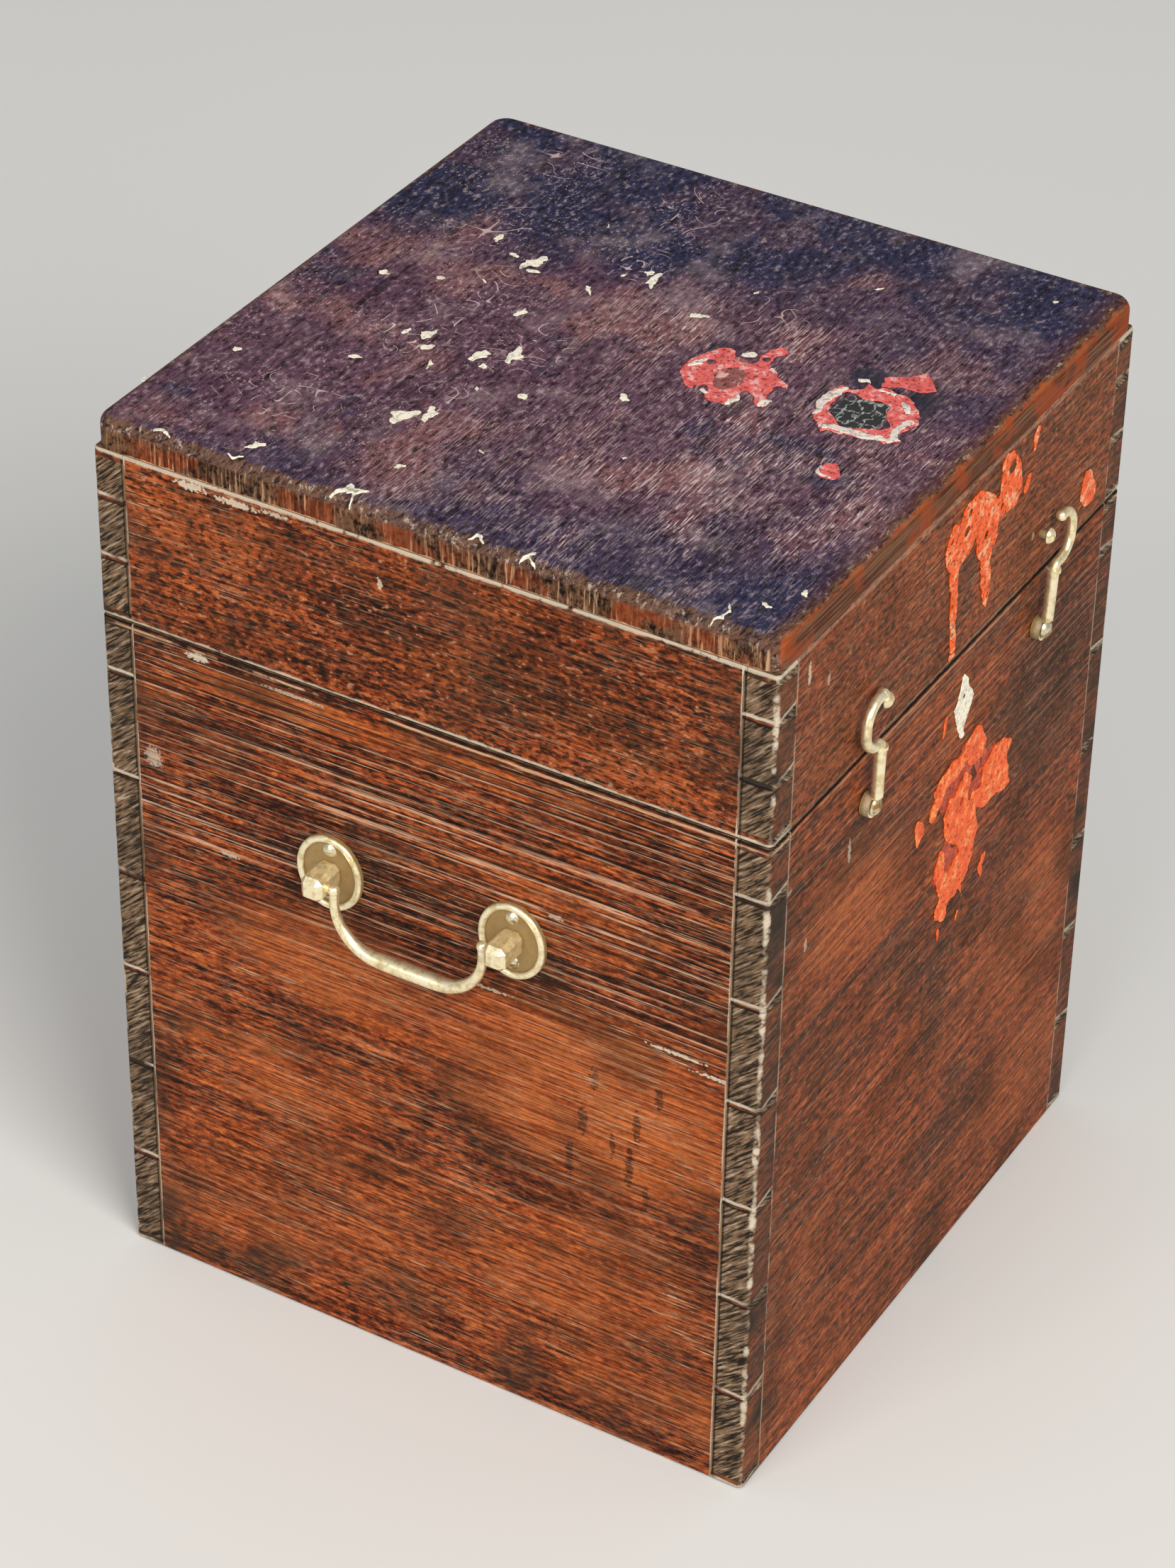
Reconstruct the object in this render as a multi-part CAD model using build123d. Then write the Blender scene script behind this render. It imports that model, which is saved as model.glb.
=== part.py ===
from build123d import *
import math
import os

# A tall wooden box with a deep hinged lid, millimetres.
# It stands on Z = 0 with its middle on the Z axis. The two swivel hooks are on the front (-Y), the two butt
# hinges at the back (+Y), and a brass drop handle is on each side (-X and +X).

# ---- Wooden box --------------------------------------------------------------------------------------------
box_width = 305.0  # X, across the front
box_depth = 307.0  # Y, across a side
body_height = 330.0  # floor to the seam
lid_side_height = 78.0  # seam to the underside of the top board
top_thickness = 14.0  # top board of the lid
board_thickness = 15.0  # front, back and side boards
seam_gap = 0.6  # worn gap between body and lid
corner_radius = 2.5  # upright corners of body and lid
edge_radius = 1.2  # rims along the seam and the foot
top_corner_radius = 9.0  # plan corners of the top board
top_edge_radius = 5.0  # worn upper edge of the top board
top_lower_radius = 1.0  # lower edge of the top board

# ---- Dovetails: pins on the side boards, tails on the front and back boards ----------------------------------
pin_face = 2.6  # width of a pin where it is thinnest
pin_slope = 1 / 7  # spread of each flank over the board's thickness
half_pin = 4.0  # half pin at each end of a joint
body_pin_pitch = 50.6
lid_pin_pitch = 28.0

# ---- Bottom board, let into a rabbet and flush with the foot ---------------------------------------------------
bottom_thickness = 9.0
rabbet_depth = 7.0

# ---- Clearances ----------------------------------------------------------------------------------------------
seat_clearance = 0.05  # round a screw or tenon in its hole, radial
running_clearance = 0.06  # round a turning pin, radial
moving_gap = 0.5  # beside a turning piece
hole_overrun = 0.5  # blind hole beyond the end of its screw

# ---- Butt hinges -----------------------------------------------------------------------------------------------
hinge_length = 50.0
hinge_spacing = 190.0  # middle to middle
leaf_width = 13.0  # let into the edge of the board
leaf_thickness = 1.6
knuckle_radius = 3.0
knuckle_standoff = 0.5  # barrel clear of the back boards
knuckle_count = 5
knuckle_gap = 0.4
pin_radius = 1.5
pin_head_radius = 2.4
pin_head_length = 1.0
leaf_screw_count = 3
leaf_screw_pitch = 17.0

# ---- Drop handles ----------------------------------------------------------------------------------------------
handle_drop = 86.5  # seam down to the bail's axis
handle_setback = 2.0  # middle of the handle behind the middle of the side
handle_spacing = 86.0  # middle to middle of the two oval plates
plate_width = 31.0  # along the bail's axis
plate_height = 36.0
plate_floor = 1.1  # thickness inside the rim
plate_rim_width = 3.2
plate_rim_height = 1.6  # above the dished floor
plate_rim_rounding = 1.4
post_width = 10.0  # along the bail's axis
post_depth = 11.0  # up and down
post_chamfer = 2.2
post_reach = 16.5  # wood to the end of the post
bail_standoff = 10.5  # wood to the bail's axis
bail_drop = 27.0  # axis to the middle of the grip
bail_corner_radius = 21.0
bail_end_radius = 1.9
bail_elbow_radius = 2.5  # ball where a leg turns into its post
bail_grip_radius = 3.5
bail_section_count = 17
spigot_radius = 1.7  # turned-out end of the bail
spigot_length = 6.5  # inside its post
tenon_radius = 2.5  # post's tail through plate and wood
tenon_length = 8.0  # in the wood
plate_screw_offset = 10.8  # above and below the axis

# ---- Swivel hooks ----------------------------------------------------------------------------------------------
hook_pivot_x = 75.5  # each side of the middle
hook_pivot_drop_left = 24.0  # seam down to the pivot
hook_pivot_drop_right = 26.5
hook_lean_angle_left = -1.5  # outwards, as it stands beside its stud
hook_lean_angle_right = 5.3
hook_reach = 46.0  # pivot to stud
hook_standoff = 5.2  # wood to the middle of the rod
hook_rod_radius = 2.1
hook_shank_radius = 2.5
hook_shoulder_height = 27.0  # pivot to the shank's shoulder
hook_shoulder_radius = 3.1
hook_shoulder_thickness = 1.6
hook_crook_foot = 30.5  # pivot to the crook's lower turn
hook_crook_width = 13.5  # shank's line to the crook's outer side
hook_crook_radius = 10.0
hook_heel_radius = 3.0  # bend where the shank meets the crook
hook_tip_radius = 2.4
hook_tip_short = 1.0  # middle of the tip short of the shank's line
hook_boss_radius = 5.2
hook_boss_top = 4.4  # wood to the outer face of the boss
hook_wood_gap = 0.4
stud_clearance = 1.0  # round the stud's head, under the crook and beside the tip

# ---- Screws ----------------------------------------------------------------------------------------------------
plate_screw_radius = 1.6
plate_screw_length = 11.0  # in the wood
plate_head_radius = 3.3
plate_head_height = 1.6
leaf_screw_radius = 1.3
leaf_screw_length = 11.0
leaf_head_radius = 2.6
leaf_head_depth = 1.3
pivot_screw_radius = 2.0
pivot_screw_length = 12.0
pivot_head_radius = 4.3
pivot_head_height = 2.6
stud_screw_radius = 1.5
stud_neck_radius = 1.8
stud_screw_length = 12.0
stud_head_radius = 3.5
stud_head_height = 2.4
slot_width = 0.8
slot_depth = 0.8
slot_angle_left = 62.0  # where the hook screws' slots stopped
slot_angle_right = 55.0

# ---- Worked out ------------------------------------------------------------------------------------------------
half_width = box_width / 2
half_depth = box_depth / 2
lid_bottom = body_height + seam_gap
lid_side_top = lid_bottom + lid_side_height
handle_height = body_height - handle_drop
hinge_axis_y = half_depth + knuckle_standoff + knuckle_radius
hinge_axis_z = body_height + seam_gap / 2
hook_arm_radius = hook_reach + stud_head_radius + stud_clearance + hook_rod_radius
stud_beside_tip = stud_head_radius + hook_tip_radius + stud_clearance - hook_tip_short
hook_rest_angle = math.degrees(math.asin(stud_beside_tip / hook_reach))  # from over the stud to beside it
stud_neck_length = hook_standoff - stud_head_height / 2
bail_half_span = handle_spacing / 2 - post_width / 2 - moving_gap - bail_elbow_radius

os.makedirs("parts", exist_ok=True)


# ---- Shared shapes ---------------------------------------------------------------------------------------------
def block(x, y, z):
    """A box from its low and high value along each axis."""
    size = [high - low for low, high in (x, y, z)]
    middle = [(high + low) / 2 for low, high in (x, y, z)]
    return Pos(*middle) * Box(*size)


def placed(shape, origin, outward, across):
    """A shape made along +Z, set at origin with its +Z turned outward and its +X turned across."""
    return Plane(origin=origin, x_dir=across, z_dir=outward).location * shape


def cylinder_between(start, end, radius):
    """A round bar from start to end."""
    run = Vector(*end) - Vector(*start)
    bar = Pos(0, 0, run.length / 2) * Cylinder(radius, run.length)
    return Plane(origin=start, z_dir=run).location * bar


def solids_of(shape):
    return [solid for solid in shape.solids()]


def turned(outline):
    """A solid turned about Z from (radius, height) points, closed along the axis."""
    return revolve(make_face(Plane.XZ * Polyline(*outline, close=True)), Axis.Z)


def round_head_screw(shank_radius, shank_length, head_radius, head_height, neck_radius=0.0, neck_length=0.0):
    """Wood at Z = 0: shank below, plain neck above, then a domed slotted head."""
    sphere_radius = (head_radius**2 + head_height**2) / (2 * head_height)
    dome = Pos(0, 0, head_height - sphere_radius) * Sphere(sphere_radius)
    reach = 2 * head_radius
    dome = dome & block((-reach, reach), (-reach, reach), (0, reach))
    slot = block((-reach, reach), (-slot_width / 2, slot_width / 2), (head_height - slot_depth, reach))
    shape = Pos(0, 0, neck_length) * (dome - slot)
    shape += Pos(0, 0, -shank_length / 2) * Cylinder(shank_radius, shank_length)
    if neck_length:
        shape += Pos(0, 0, neck_length / 2) * Cylinder(neck_radius, neck_length)
    return shape


def flat_head_screw(grow=0.0):
    """A countersunk wood screw with its head flush at Z = 0, or its clearance shape."""
    top = leaf_head_radius + grow
    shank = leaf_screw_radius + grow
    end = -leaf_screw_length - (hole_overrun if grow else 0.0)
    shape = turned([(0, 0), (top, 0), (shank, -leaf_head_depth), (shank, end), (0, end)])
    if not grow:
        slot = block((-top, top), (-slot_width / 2, slot_width / 2), (-slot_depth, slot_depth))
        shape -= slot
    return shape


# ---- Boards ----------------------------------------------------------------------------------------------------
def carcase_envelope(low, high):
    """The outside of body or lid between two heights, corners and rims eased."""
    shape = block((-half_width, half_width), (-half_depth, half_depth), (low, high))
    shape = fillet(shape.edges().filter_by(Axis.Z), corner_radius)
    rims = shape.faces().sort_by(Axis.Z)
    return fillet(rims[0].edges() + rims[-1].edges(), edge_radius)


def pin_profile(outer_x, inner_x, outer_low, outer_high, inner_low, inner_high):
    outline = [(outer_x, outer_low), (outer_x, outer_high), (inner_x, inner_high), (inner_x, inner_low)]
    return make_face(Plane.XZ * Polyline(*outline, close=True))


def dovetail_pins(side, low, high, pitch):
    """All pins of one side board, front to back: full pins at each pitch and a half pin at each end."""
    outer_x = side * half_width
    inner_x = side * (half_width - board_thickness)
    spread = board_thickness * pin_slope
    half = pin_face / 2
    faces = [
        pin_profile(outer_x, inner_x, low, low + half_pin, low, low + half_pin + spread),
        pin_profile(outer_x, inner_x, high - half_pin, high, high - half_pin - spread, high),
    ]
    for step in range(1, math.ceil((high - low - half_pin) / pitch)):
        z = low + step * pitch
        faces.append(pin_profile(outer_x, inner_x, z - half, z + half, z - half - spread, z + half + spread))
    shape = Part()
    for face in faces:
        shape += extrude(Pos(0, half_depth, 0) * face, amount=box_depth, dir=(0, -1, 0))
    return shape


def carcase(low, high, pitch):
    """The four dovetailed boards of body or lid: front, back, left, right."""
    envelope = carcase_envelope(low, high)
    inner_x = half_width - board_thickness
    inner_y = half_depth - board_thickness
    sides = []
    for side in (-1, 1):
        across = sorted((side * half_width, side * inner_x))
        board = block(across, (-inner_y, inner_y), (low, high)) + dovetail_pins(side, low, high, pitch)
        sides.append(board & envelope)
    ends = []
    for end in (-1, 1):
        along = sorted((end * half_depth, end * inner_y))
        board = block((-half_width, half_width), along, (low, high)) & envelope
        ends.append(board - sides[0] - sides[1])
    return ends + sides


def bottom_board():
    reach_x = half_width - board_thickness + rabbet_depth
    reach_y = half_depth - board_thickness + rabbet_depth
    return block((-reach_x, reach_x), (-reach_y, reach_y), (0, bottom_thickness))


def top_board():
    shape = block(
        (-half_width, half_width), (-half_depth, half_depth), (lid_side_top, lid_side_top + top_thickness)
    )
    shape = fillet(shape.edges().filter_by(Axis.Z), top_corner_radius)
    shape = fillet(shape.faces().sort_by(Axis.Z)[-1].edges(), top_edge_radius)
    return fillet(shape.faces().sort_by(Axis.Z)[0].edges(), top_lower_radius)


# ---- Hinges ----------------------------------------------------------------------------------------------------
def knuckle_spans(middle_x, owner):
    """X spans of one leaf's knuckles: owner 0 is the body leaf with the outer ones, 1 the lid leaf."""
    pitch = hinge_length / knuckle_count
    start = middle_x - hinge_length / 2
    return [(start + i * pitch, start + (i + 1) * pitch) for i in range(owner, knuckle_count, 2)]


def hinge_leaf(middle_x, owner):
    """A leaf flush with its board's edge, its knuckles bored for the pin."""
    low, high = (body_height - leaf_thickness, body_height)
    if owner:
        low, high = (lid_bottom, lid_bottom + leaf_thickness)
    span = (middle_x - hinge_length / 2, middle_x + hinge_length / 2)
    leaf = block(span, (half_depth - leaf_width, hinge_axis_y), (low, high))
    for start, end in knuckle_spans(middle_x, 1 - owner):
        a = (start - knuckle_gap / 2, hinge_axis_y, hinge_axis_z)
        b = (end + knuckle_gap / 2, hinge_axis_y, hinge_axis_z)
        leaf -= cylinder_between(a, b, knuckle_radius + moving_gap)
    for start, end in knuckle_spans(middle_x, owner):
        a = (start + knuckle_gap / 2, hinge_axis_y, hinge_axis_z)
        b = (end - knuckle_gap / 2, hinge_axis_y, hinge_axis_z)
        leaf += cylinder_between(a, b, knuckle_radius)
    bore_start = (span[0] - knuckle_gap, hinge_axis_y, hinge_axis_z)
    bore_end = (span[1] + knuckle_gap, hinge_axis_y, hinge_axis_z)
    leaf -= cylinder_between(bore_start, bore_end, pin_radius + running_clearance)
    return leaf


def leaf_pocket(middle_x, owner):
    """The recess that lets a leaf into its board."""
    low, high = (body_height - leaf_thickness, body_height)
    if owner:
        low, high = (lid_bottom, lid_bottom + leaf_thickness)
    span = (middle_x - hinge_length / 2, middle_x + hinge_length / 2)
    return block(span, (half_depth - leaf_width, hinge_axis_y), (low, high))


def leaf_screw_places(middle_x, owner):
    """Where a leaf's screws stand: origin and outward direction."""
    y = half_depth - leaf_width / 2
    z = lid_bottom if owner else body_height
    outward = (0, 0, -1) if owner else (0, 0, 1)
    first = middle_x - leaf_screw_pitch * (leaf_screw_count - 1) / 2
    return [((first + i * leaf_screw_pitch, y, z), outward) for i in range(leaf_screw_count)]


def hinge_pin(middle_x):
    outer = math.copysign(1, middle_x)
    far = middle_x + outer * hinge_length / 2
    near = middle_x - outer * hinge_length / 2
    pin = cylinder_between((near, hinge_axis_y, hinge_axis_z), (far, hinge_axis_y, hinge_axis_z), pin_radius)
    head_end = (far + outer * pin_head_length, hinge_axis_y, hinge_axis_z)
    return pin + cylinder_between((far, hinge_axis_y, hinge_axis_z), head_end, pin_head_radius)


# ---- Handles ---------------------------------------------------------------------------------------------------
def handle_frame(side, end, rise=0.0):
    """Origin on the wood, outward direction, and the direction along the bail's axis."""
    y = handle_setback + end * handle_spacing / 2
    return (side * half_width, y, handle_height + rise), (side, 0, 0), (0, 1, 0)


def plate_oval(inset=0.0):
    return Ellipse(plate_width / 2 - inset, plate_height / 2 - inset)


def handle_plate():
    """Oval dished plate with a raised rim, bored for its post and two screws. Wood at Z = 0."""
    rim_top = plate_floor + plate_rim_height
    shape = extrude(plate_oval(), amount=rim_top)
    shape -= Pos(0, 0, plate_floor) * extrude(plate_oval(plate_rim_width), amount=rim_top)
    shape = fillet(shape.edges().filter_by_position(Axis.Z, rim_top, rim_top), plate_rim_rounding)
    shape -= Cylinder(tenon_radius + seat_clearance, 4 * plate_floor)
    for offset in (-plate_screw_offset, plate_screw_offset):
        shape -= Pos(0, offset, 0) * Cylinder(plate_screw_radius + seat_clearance, 4 * plate_floor)
    return shape


def handle_post(inward):
    """Faceted post with a tenon through the plate, bored from its inward side for the bail's end."""
    height = post_reach - plate_floor
    shape = Pos(0, 0, plate_floor + height / 2) * Box(post_width, post_depth, height)
    top = shape.faces().sort_by(Axis.Z)[-1]
    shape = chamfer(top.edges() + shape.edges().filter_by(Axis.Z), post_chamfer)
    shape += Pos(0, 0, (plate_floor - tenon_length) / 2) * Cylinder(tenon_radius, plate_floor + tenon_length)
    mouth = (inward * post_width, 0, bail_standoff)
    end = (inward * (post_width / 2 - spigot_length - hole_overrun), 0, bail_standoff)
    return shape - cylinder_between(mouth, end, spigot_radius + running_clearance)


def bail_right():
    """Drop handle: a tapered rod hanging from two turned-out ends."""
    x = half_width + bail_standoff
    corners = [(end * bail_half_span, z) for end, z in ((-1, 0), (-1, -bail_drop), (1, -bail_drop), (1, 0))]
    path = FilletPolyline(*[(x, y, handle_height + z) for y, z in corners], radius=bail_corner_radius)
    sections = []
    for i in range(bail_section_count):
        along = i / (bail_section_count - 1)
        swell = math.sin(math.pi * along) ** 2
        radius = bail_end_radius + (bail_grip_radius - bail_end_radius) * swell
        sections.append(Plane(origin=path @ along, x_dir=(1, 0, 0), z_dir=path % along) * Circle(radius))
    shape = loft(Sketch() + sections)
    tip = handle_spacing / 2 - post_width / 2 + spigot_length
    for end in (-1, 1):
        elbow = (x, end * bail_half_span, handle_height)
        shape += Pos(*elbow) * Sphere(bail_elbow_radius)
        shape += cylinder_between(elbow, (x, end * tip, handle_height), spigot_radius)
    return Pos(0, handle_setback, 0) * shape


# ---- Hooks -----------------------------------------------------------------------------------------------------
def hook_right_upright():
    """The right hook upright, pivot at the origin: boss, shank, shoulder, round crook and tip."""
    corners = [
        (0, 0, 0),
        (0, 0, hook_crook_foot),
        (hook_crook_width, 0, hook_crook_foot),
        (hook_crook_width, 0, hook_arm_radius),
        (hook_tip_short, 0, hook_arm_radius),
    ]
    bends = [hook_heel_radius, hook_crook_radius, hook_crook_radius]
    path = FilletPolyline(*corners, radius=bends)
    shape = sweep(Plane(origin=path @ 0, z_dir=path % 0) * Circle(hook_rod_radius), path=path)
    shape += Pos(*corners[-1]) * Sphere(hook_tip_radius)
    shape += cylinder_between((0, 0, 0), (0, 0, hook_shoulder_height), hook_shank_radius)
    shoulder_end = (0, 0, hook_shoulder_height + hook_shoulder_thickness)
    shape += cylinder_between((0, 0, hook_shoulder_height), shoulder_end, hook_shoulder_radius)
    back = hook_standoff - hook_wood_gap
    face = hook_standoff - hook_boss_top
    outside = -hook_reach
    shape += cylinder_between((0, back, 0), (0, face, 0), hook_boss_radius)
    shape -= cylinder_between((0, face, 0), (0, outside, 0), pivot_head_radius + moving_gap)
    return shape - cylinder_between((0, back, 0), (0, outside, 0), pivot_screw_radius + running_clearance)


def hook_point(side, pivot_drop, angle, reach):
    """A point on the front face at a reach and outward angle from a hook's pivot."""
    turn = math.radians(angle)
    x = side * (hook_pivot_x + reach * math.sin(turn))
    return x, -half_depth, body_height - pivot_drop + reach * math.cos(turn)


def hook(side, pivot_drop, lean_angle):
    shape = Rot(0, lean_angle, 0) * hook_right_upright()
    if side < 0:
        shape = mirror(shape, Plane.YZ)
    return Pos(side * hook_pivot_x, -half_depth - hook_standoff, body_height - pivot_drop) * shape


def front_screw(shape, point, slot_angle):
    """A screw made along +Z, driven into the front with its slot turned."""
    return placed(Rot(0, 0, slot_angle) * shape, point, (0, -1, 0), (1, 0, 0))


def pilot(point, outward, radius, depth):
    """The hole for a screw or tenon that enters the wood at point."""
    end = [p - o * depth for p, o in zip(point, outward)]
    return cylinder_between([p + o for p, o in zip(point, outward)], end, radius)


# ---- The whole box ---------------------------------------------------------------------------------------------
def build():
    nodes = {}
    front, back, left, right = range(4)
    body = carcase(0.0, body_height, body_pin_pitch)
    lid = carcase(lid_bottom, lid_side_top, lid_pin_pitch)
    nodes["body_bottom"] = bottom_board()
    body = [board - nodes["body_bottom"] for board in body]
    nodes["lid_top"] = top_board()

    for name, sign in (("left", -1), ("right", 1)):
        middle_x = sign * hinge_spacing / 2
        nodes[f"hinge_{name}_pin"] = hinge_pin(middle_x)
        for owner, holder, boards in ((0, "body", body), (1, "lid", lid)):
            leaf = hinge_leaf(middle_x, owner)
            boards[back] -= leaf_pocket(middle_x, owner)
            screws = []
            for origin, outward in leaf_screw_places(middle_x, owner):
                hole = placed(flat_head_screw(seat_clearance), origin, outward, (1, 0, 0))
                leaf -= hole
                boards[back] -= hole
                screws += solids_of(placed(flat_head_screw(), origin, outward, (1, 0, 0)))
            nodes[f"hinge_{name}_{holder}_leaf"] = leaf
            nodes[f"hinge_{name}_{holder}_screws"] = Compound(children=screws)

    plate = handle_plate()
    plate_screw = round_head_screw(
        plate_screw_radius, plate_floor + plate_screw_length, plate_head_radius, plate_head_height
    )
    for name, sign, board in (("left", -1, left), ("right", 1, right)):
        screws = []
        for place, end in (("front", -1), ("back", 1)):
            origin, outward, across = handle_frame(sign, end)
            nodes[f"handle_{name}_{place}_plate"] = placed(plate, origin, outward, across)
            nodes[f"handle_{name}_{place}_post"] = placed(handle_post(-end), origin, outward, across)
            tenon_hole = pilot(origin, outward, tenon_radius + seat_clearance, tenon_length + hole_overrun)
            body[board] -= tenon_hole
            for offset in (-plate_screw_offset, plate_screw_offset):
                origin, outward, across = handle_frame(sign, end, offset)
                seat = (origin[0] + sign * plate_floor, origin[1], origin[2])
                screws += solids_of(placed(plate_screw, seat, outward, across))
                depth = plate_screw_length + hole_overrun
                body[board] -= pilot(origin, outward, plate_screw_radius + seat_clearance, depth)
        nodes[f"handle_{name}_screws"] = Compound(children=screws)
        nodes[f"handle_{name}_bail"] = bail_right() if sign > 0 else mirror(bail_right(), Plane.YZ)

    pivot = round_head_screw(
        pivot_screw_radius,
        pivot_screw_length,
        pivot_head_radius,
        pivot_head_height,
        pivot_screw_radius,
        hook_boss_top + moving_gap,
    )
    stud = round_head_screw(
        stud_screw_radius,
        stud_screw_length,
        stud_head_radius,
        stud_head_height,
        stud_neck_radius,
        stud_neck_length,
    )
    for name, sign, pivot_drop, lean_angle, slot_angle in (
        ("left", -1, hook_pivot_drop_left, hook_lean_angle_left, slot_angle_left),
        ("right", 1, hook_pivot_drop_right, hook_lean_angle_right, slot_angle_right),
    ):
        nodes[f"hook_{name}"] = hook(sign, pivot_drop, lean_angle)
        pivot_point = hook_point(sign, pivot_drop, 0, 0)
        nodes[f"hook_{name}_screw"] = front_screw(pivot, pivot_point, slot_angle)
        stud_point = hook_point(sign, pivot_drop, lean_angle - hook_rest_angle, hook_reach)
        nodes[f"hook_{name}_stud"] = front_screw(stud, stud_point, -slot_angle)
        into = (0, -1, 0)
        depth = pivot_screw_length + hole_overrun
        body[front] -= pilot(pivot_point, into, pivot_screw_radius + seat_clearance, depth)
        depth = stud_screw_length + hole_overrun
        lid[front] -= pilot(stud_point, into, stud_screw_radius + seat_clearance, depth)

    for index, name in enumerate(("front", "back", "left", "right")):
        nodes[f"body_{name}"] = body[index]
        nodes[f"lid_{name}"] = lid[index]
    return nodes


for node, shape in build().items():
    export_step(shape, f"parts/{node}.step")
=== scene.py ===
import math

import bpy
from bpy.props import FloatProperty, FloatVectorProperty, IntProperty, PointerProperty
from mathutils import Matrix, Vector, geometry, noise


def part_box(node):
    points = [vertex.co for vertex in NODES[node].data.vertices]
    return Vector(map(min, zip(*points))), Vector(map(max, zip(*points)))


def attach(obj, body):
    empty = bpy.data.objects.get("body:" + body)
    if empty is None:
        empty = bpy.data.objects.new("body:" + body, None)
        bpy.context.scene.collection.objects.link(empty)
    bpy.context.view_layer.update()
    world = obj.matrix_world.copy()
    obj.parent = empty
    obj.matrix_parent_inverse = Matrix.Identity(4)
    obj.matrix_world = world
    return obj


bl_info = {
    "name": "Wooden Spice Box",
    "version": (1, 0, 0),
    "blender": (4, 5, 0),
    "location": "3D View > Sidebar > Spice Box",
    "description": "Finishes a worn wooden box with a hinged lid, brass fittings and old paint spots",
    "category": "Object",
}

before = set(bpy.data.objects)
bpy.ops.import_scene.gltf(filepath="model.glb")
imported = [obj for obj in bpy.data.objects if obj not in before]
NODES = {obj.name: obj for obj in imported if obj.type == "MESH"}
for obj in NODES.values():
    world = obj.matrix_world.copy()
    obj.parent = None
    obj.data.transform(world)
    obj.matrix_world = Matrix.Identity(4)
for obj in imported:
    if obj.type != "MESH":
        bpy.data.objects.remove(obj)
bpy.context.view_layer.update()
MM = 0.001

# ---- Sizes read from the frame, in metres ----------------
HALF_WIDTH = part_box("body_front")[1].x
HALF_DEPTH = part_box("body_left")[1].y
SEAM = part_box("body_front")[1].z
LID_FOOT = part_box("lid_front")[0].z
LID_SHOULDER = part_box("lid_front")[1].z
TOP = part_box("lid_top")[1].z
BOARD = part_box("body_front")[1].y + HALF_DEPTH
INNER_X = HALF_WIDTH - BOARD
INNER_Y = HALF_DEPTH - BOARD

# ---- Sizes of the dovetails' pins ------------------------
PIN_HALF = 0.0013
PIN_SLOPE = 1 / 7
BODY_PIN_PITCH = 0.0506
LID_PIN_PITCH = 0.028

# ---- Turns that lay a skin of paint on the front and on the top ----
FRONT = (math.pi / 2, 0, 0)
UPWARDS = (0, 0, 0)

# ---- Stage -----------------------------------------------
FLOOR_SIZE = 14
FLOOR_CELLS = 8
FLOOR_DROP = 0.0004
SKY_COLOUR = (0.93, 0.96, 1.0)
LAMP_COLOUR = (1.0, 0.97, 0.93)
LAMP_SIZE = 2.6
KEY_PLACE = (-2.1, -3.5, 3.5)
FILL_PLACE = (-3.5, 0.24, 2.15)
AIM = (0, 0, TOP * 0.55)
CAMERA_PLACE = (-1.375806, -0.780884, 1.337963)
CAMERA_AZIMUTH = math.radians(-59.96031)
CAMERA_ELEVATION = math.radians(35.47071)
CAMERA_ROLL = math.radians(1.04733)
SENSOR_WIDTH = 36
CLIP_END = 50


# ---- Shader arithmetic -----------------------------------
class Value:
    """A socket that takes part in Python arithmetic. Each operation adds its Math node."""

    def __init__(self, finish, socket):
        self.finish = finish
        self.socket = socket

    def math(self, operation, first, *others):
        settings = {"operation": operation}
        return self.finish.node("ShaderNodeMath", settings, dict(enumerate((first, *others))))

    def __add__(self, other):
        return self.math("ADD", self, other)

    def __radd__(self, other):
        return self.math("ADD", other, self)

    def __sub__(self, other):
        return self.math("SUBTRACT", self, other)

    def __rsub__(self, other):
        return self.math("SUBTRACT", other, self)

    def __mul__(self, other):
        return self.math("MULTIPLY", self, other)

    def __truediv__(self, other):
        return self.math("DIVIDE", self, other)

    def __abs__(self):
        return self.math("ABSOLUTE", self)

    def least(self, other):
        return self.math("MINIMUM", self, other)

    def most(self, other):
        return self.math("MAXIMUM", self, other)

    def past_nearest_multiple(self, pitch):
        """Distance beyond the nearest multiple of the pitch, negative below it."""
        return self.math("WRAP", self, pitch / 2, -pitch / 2)


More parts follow.
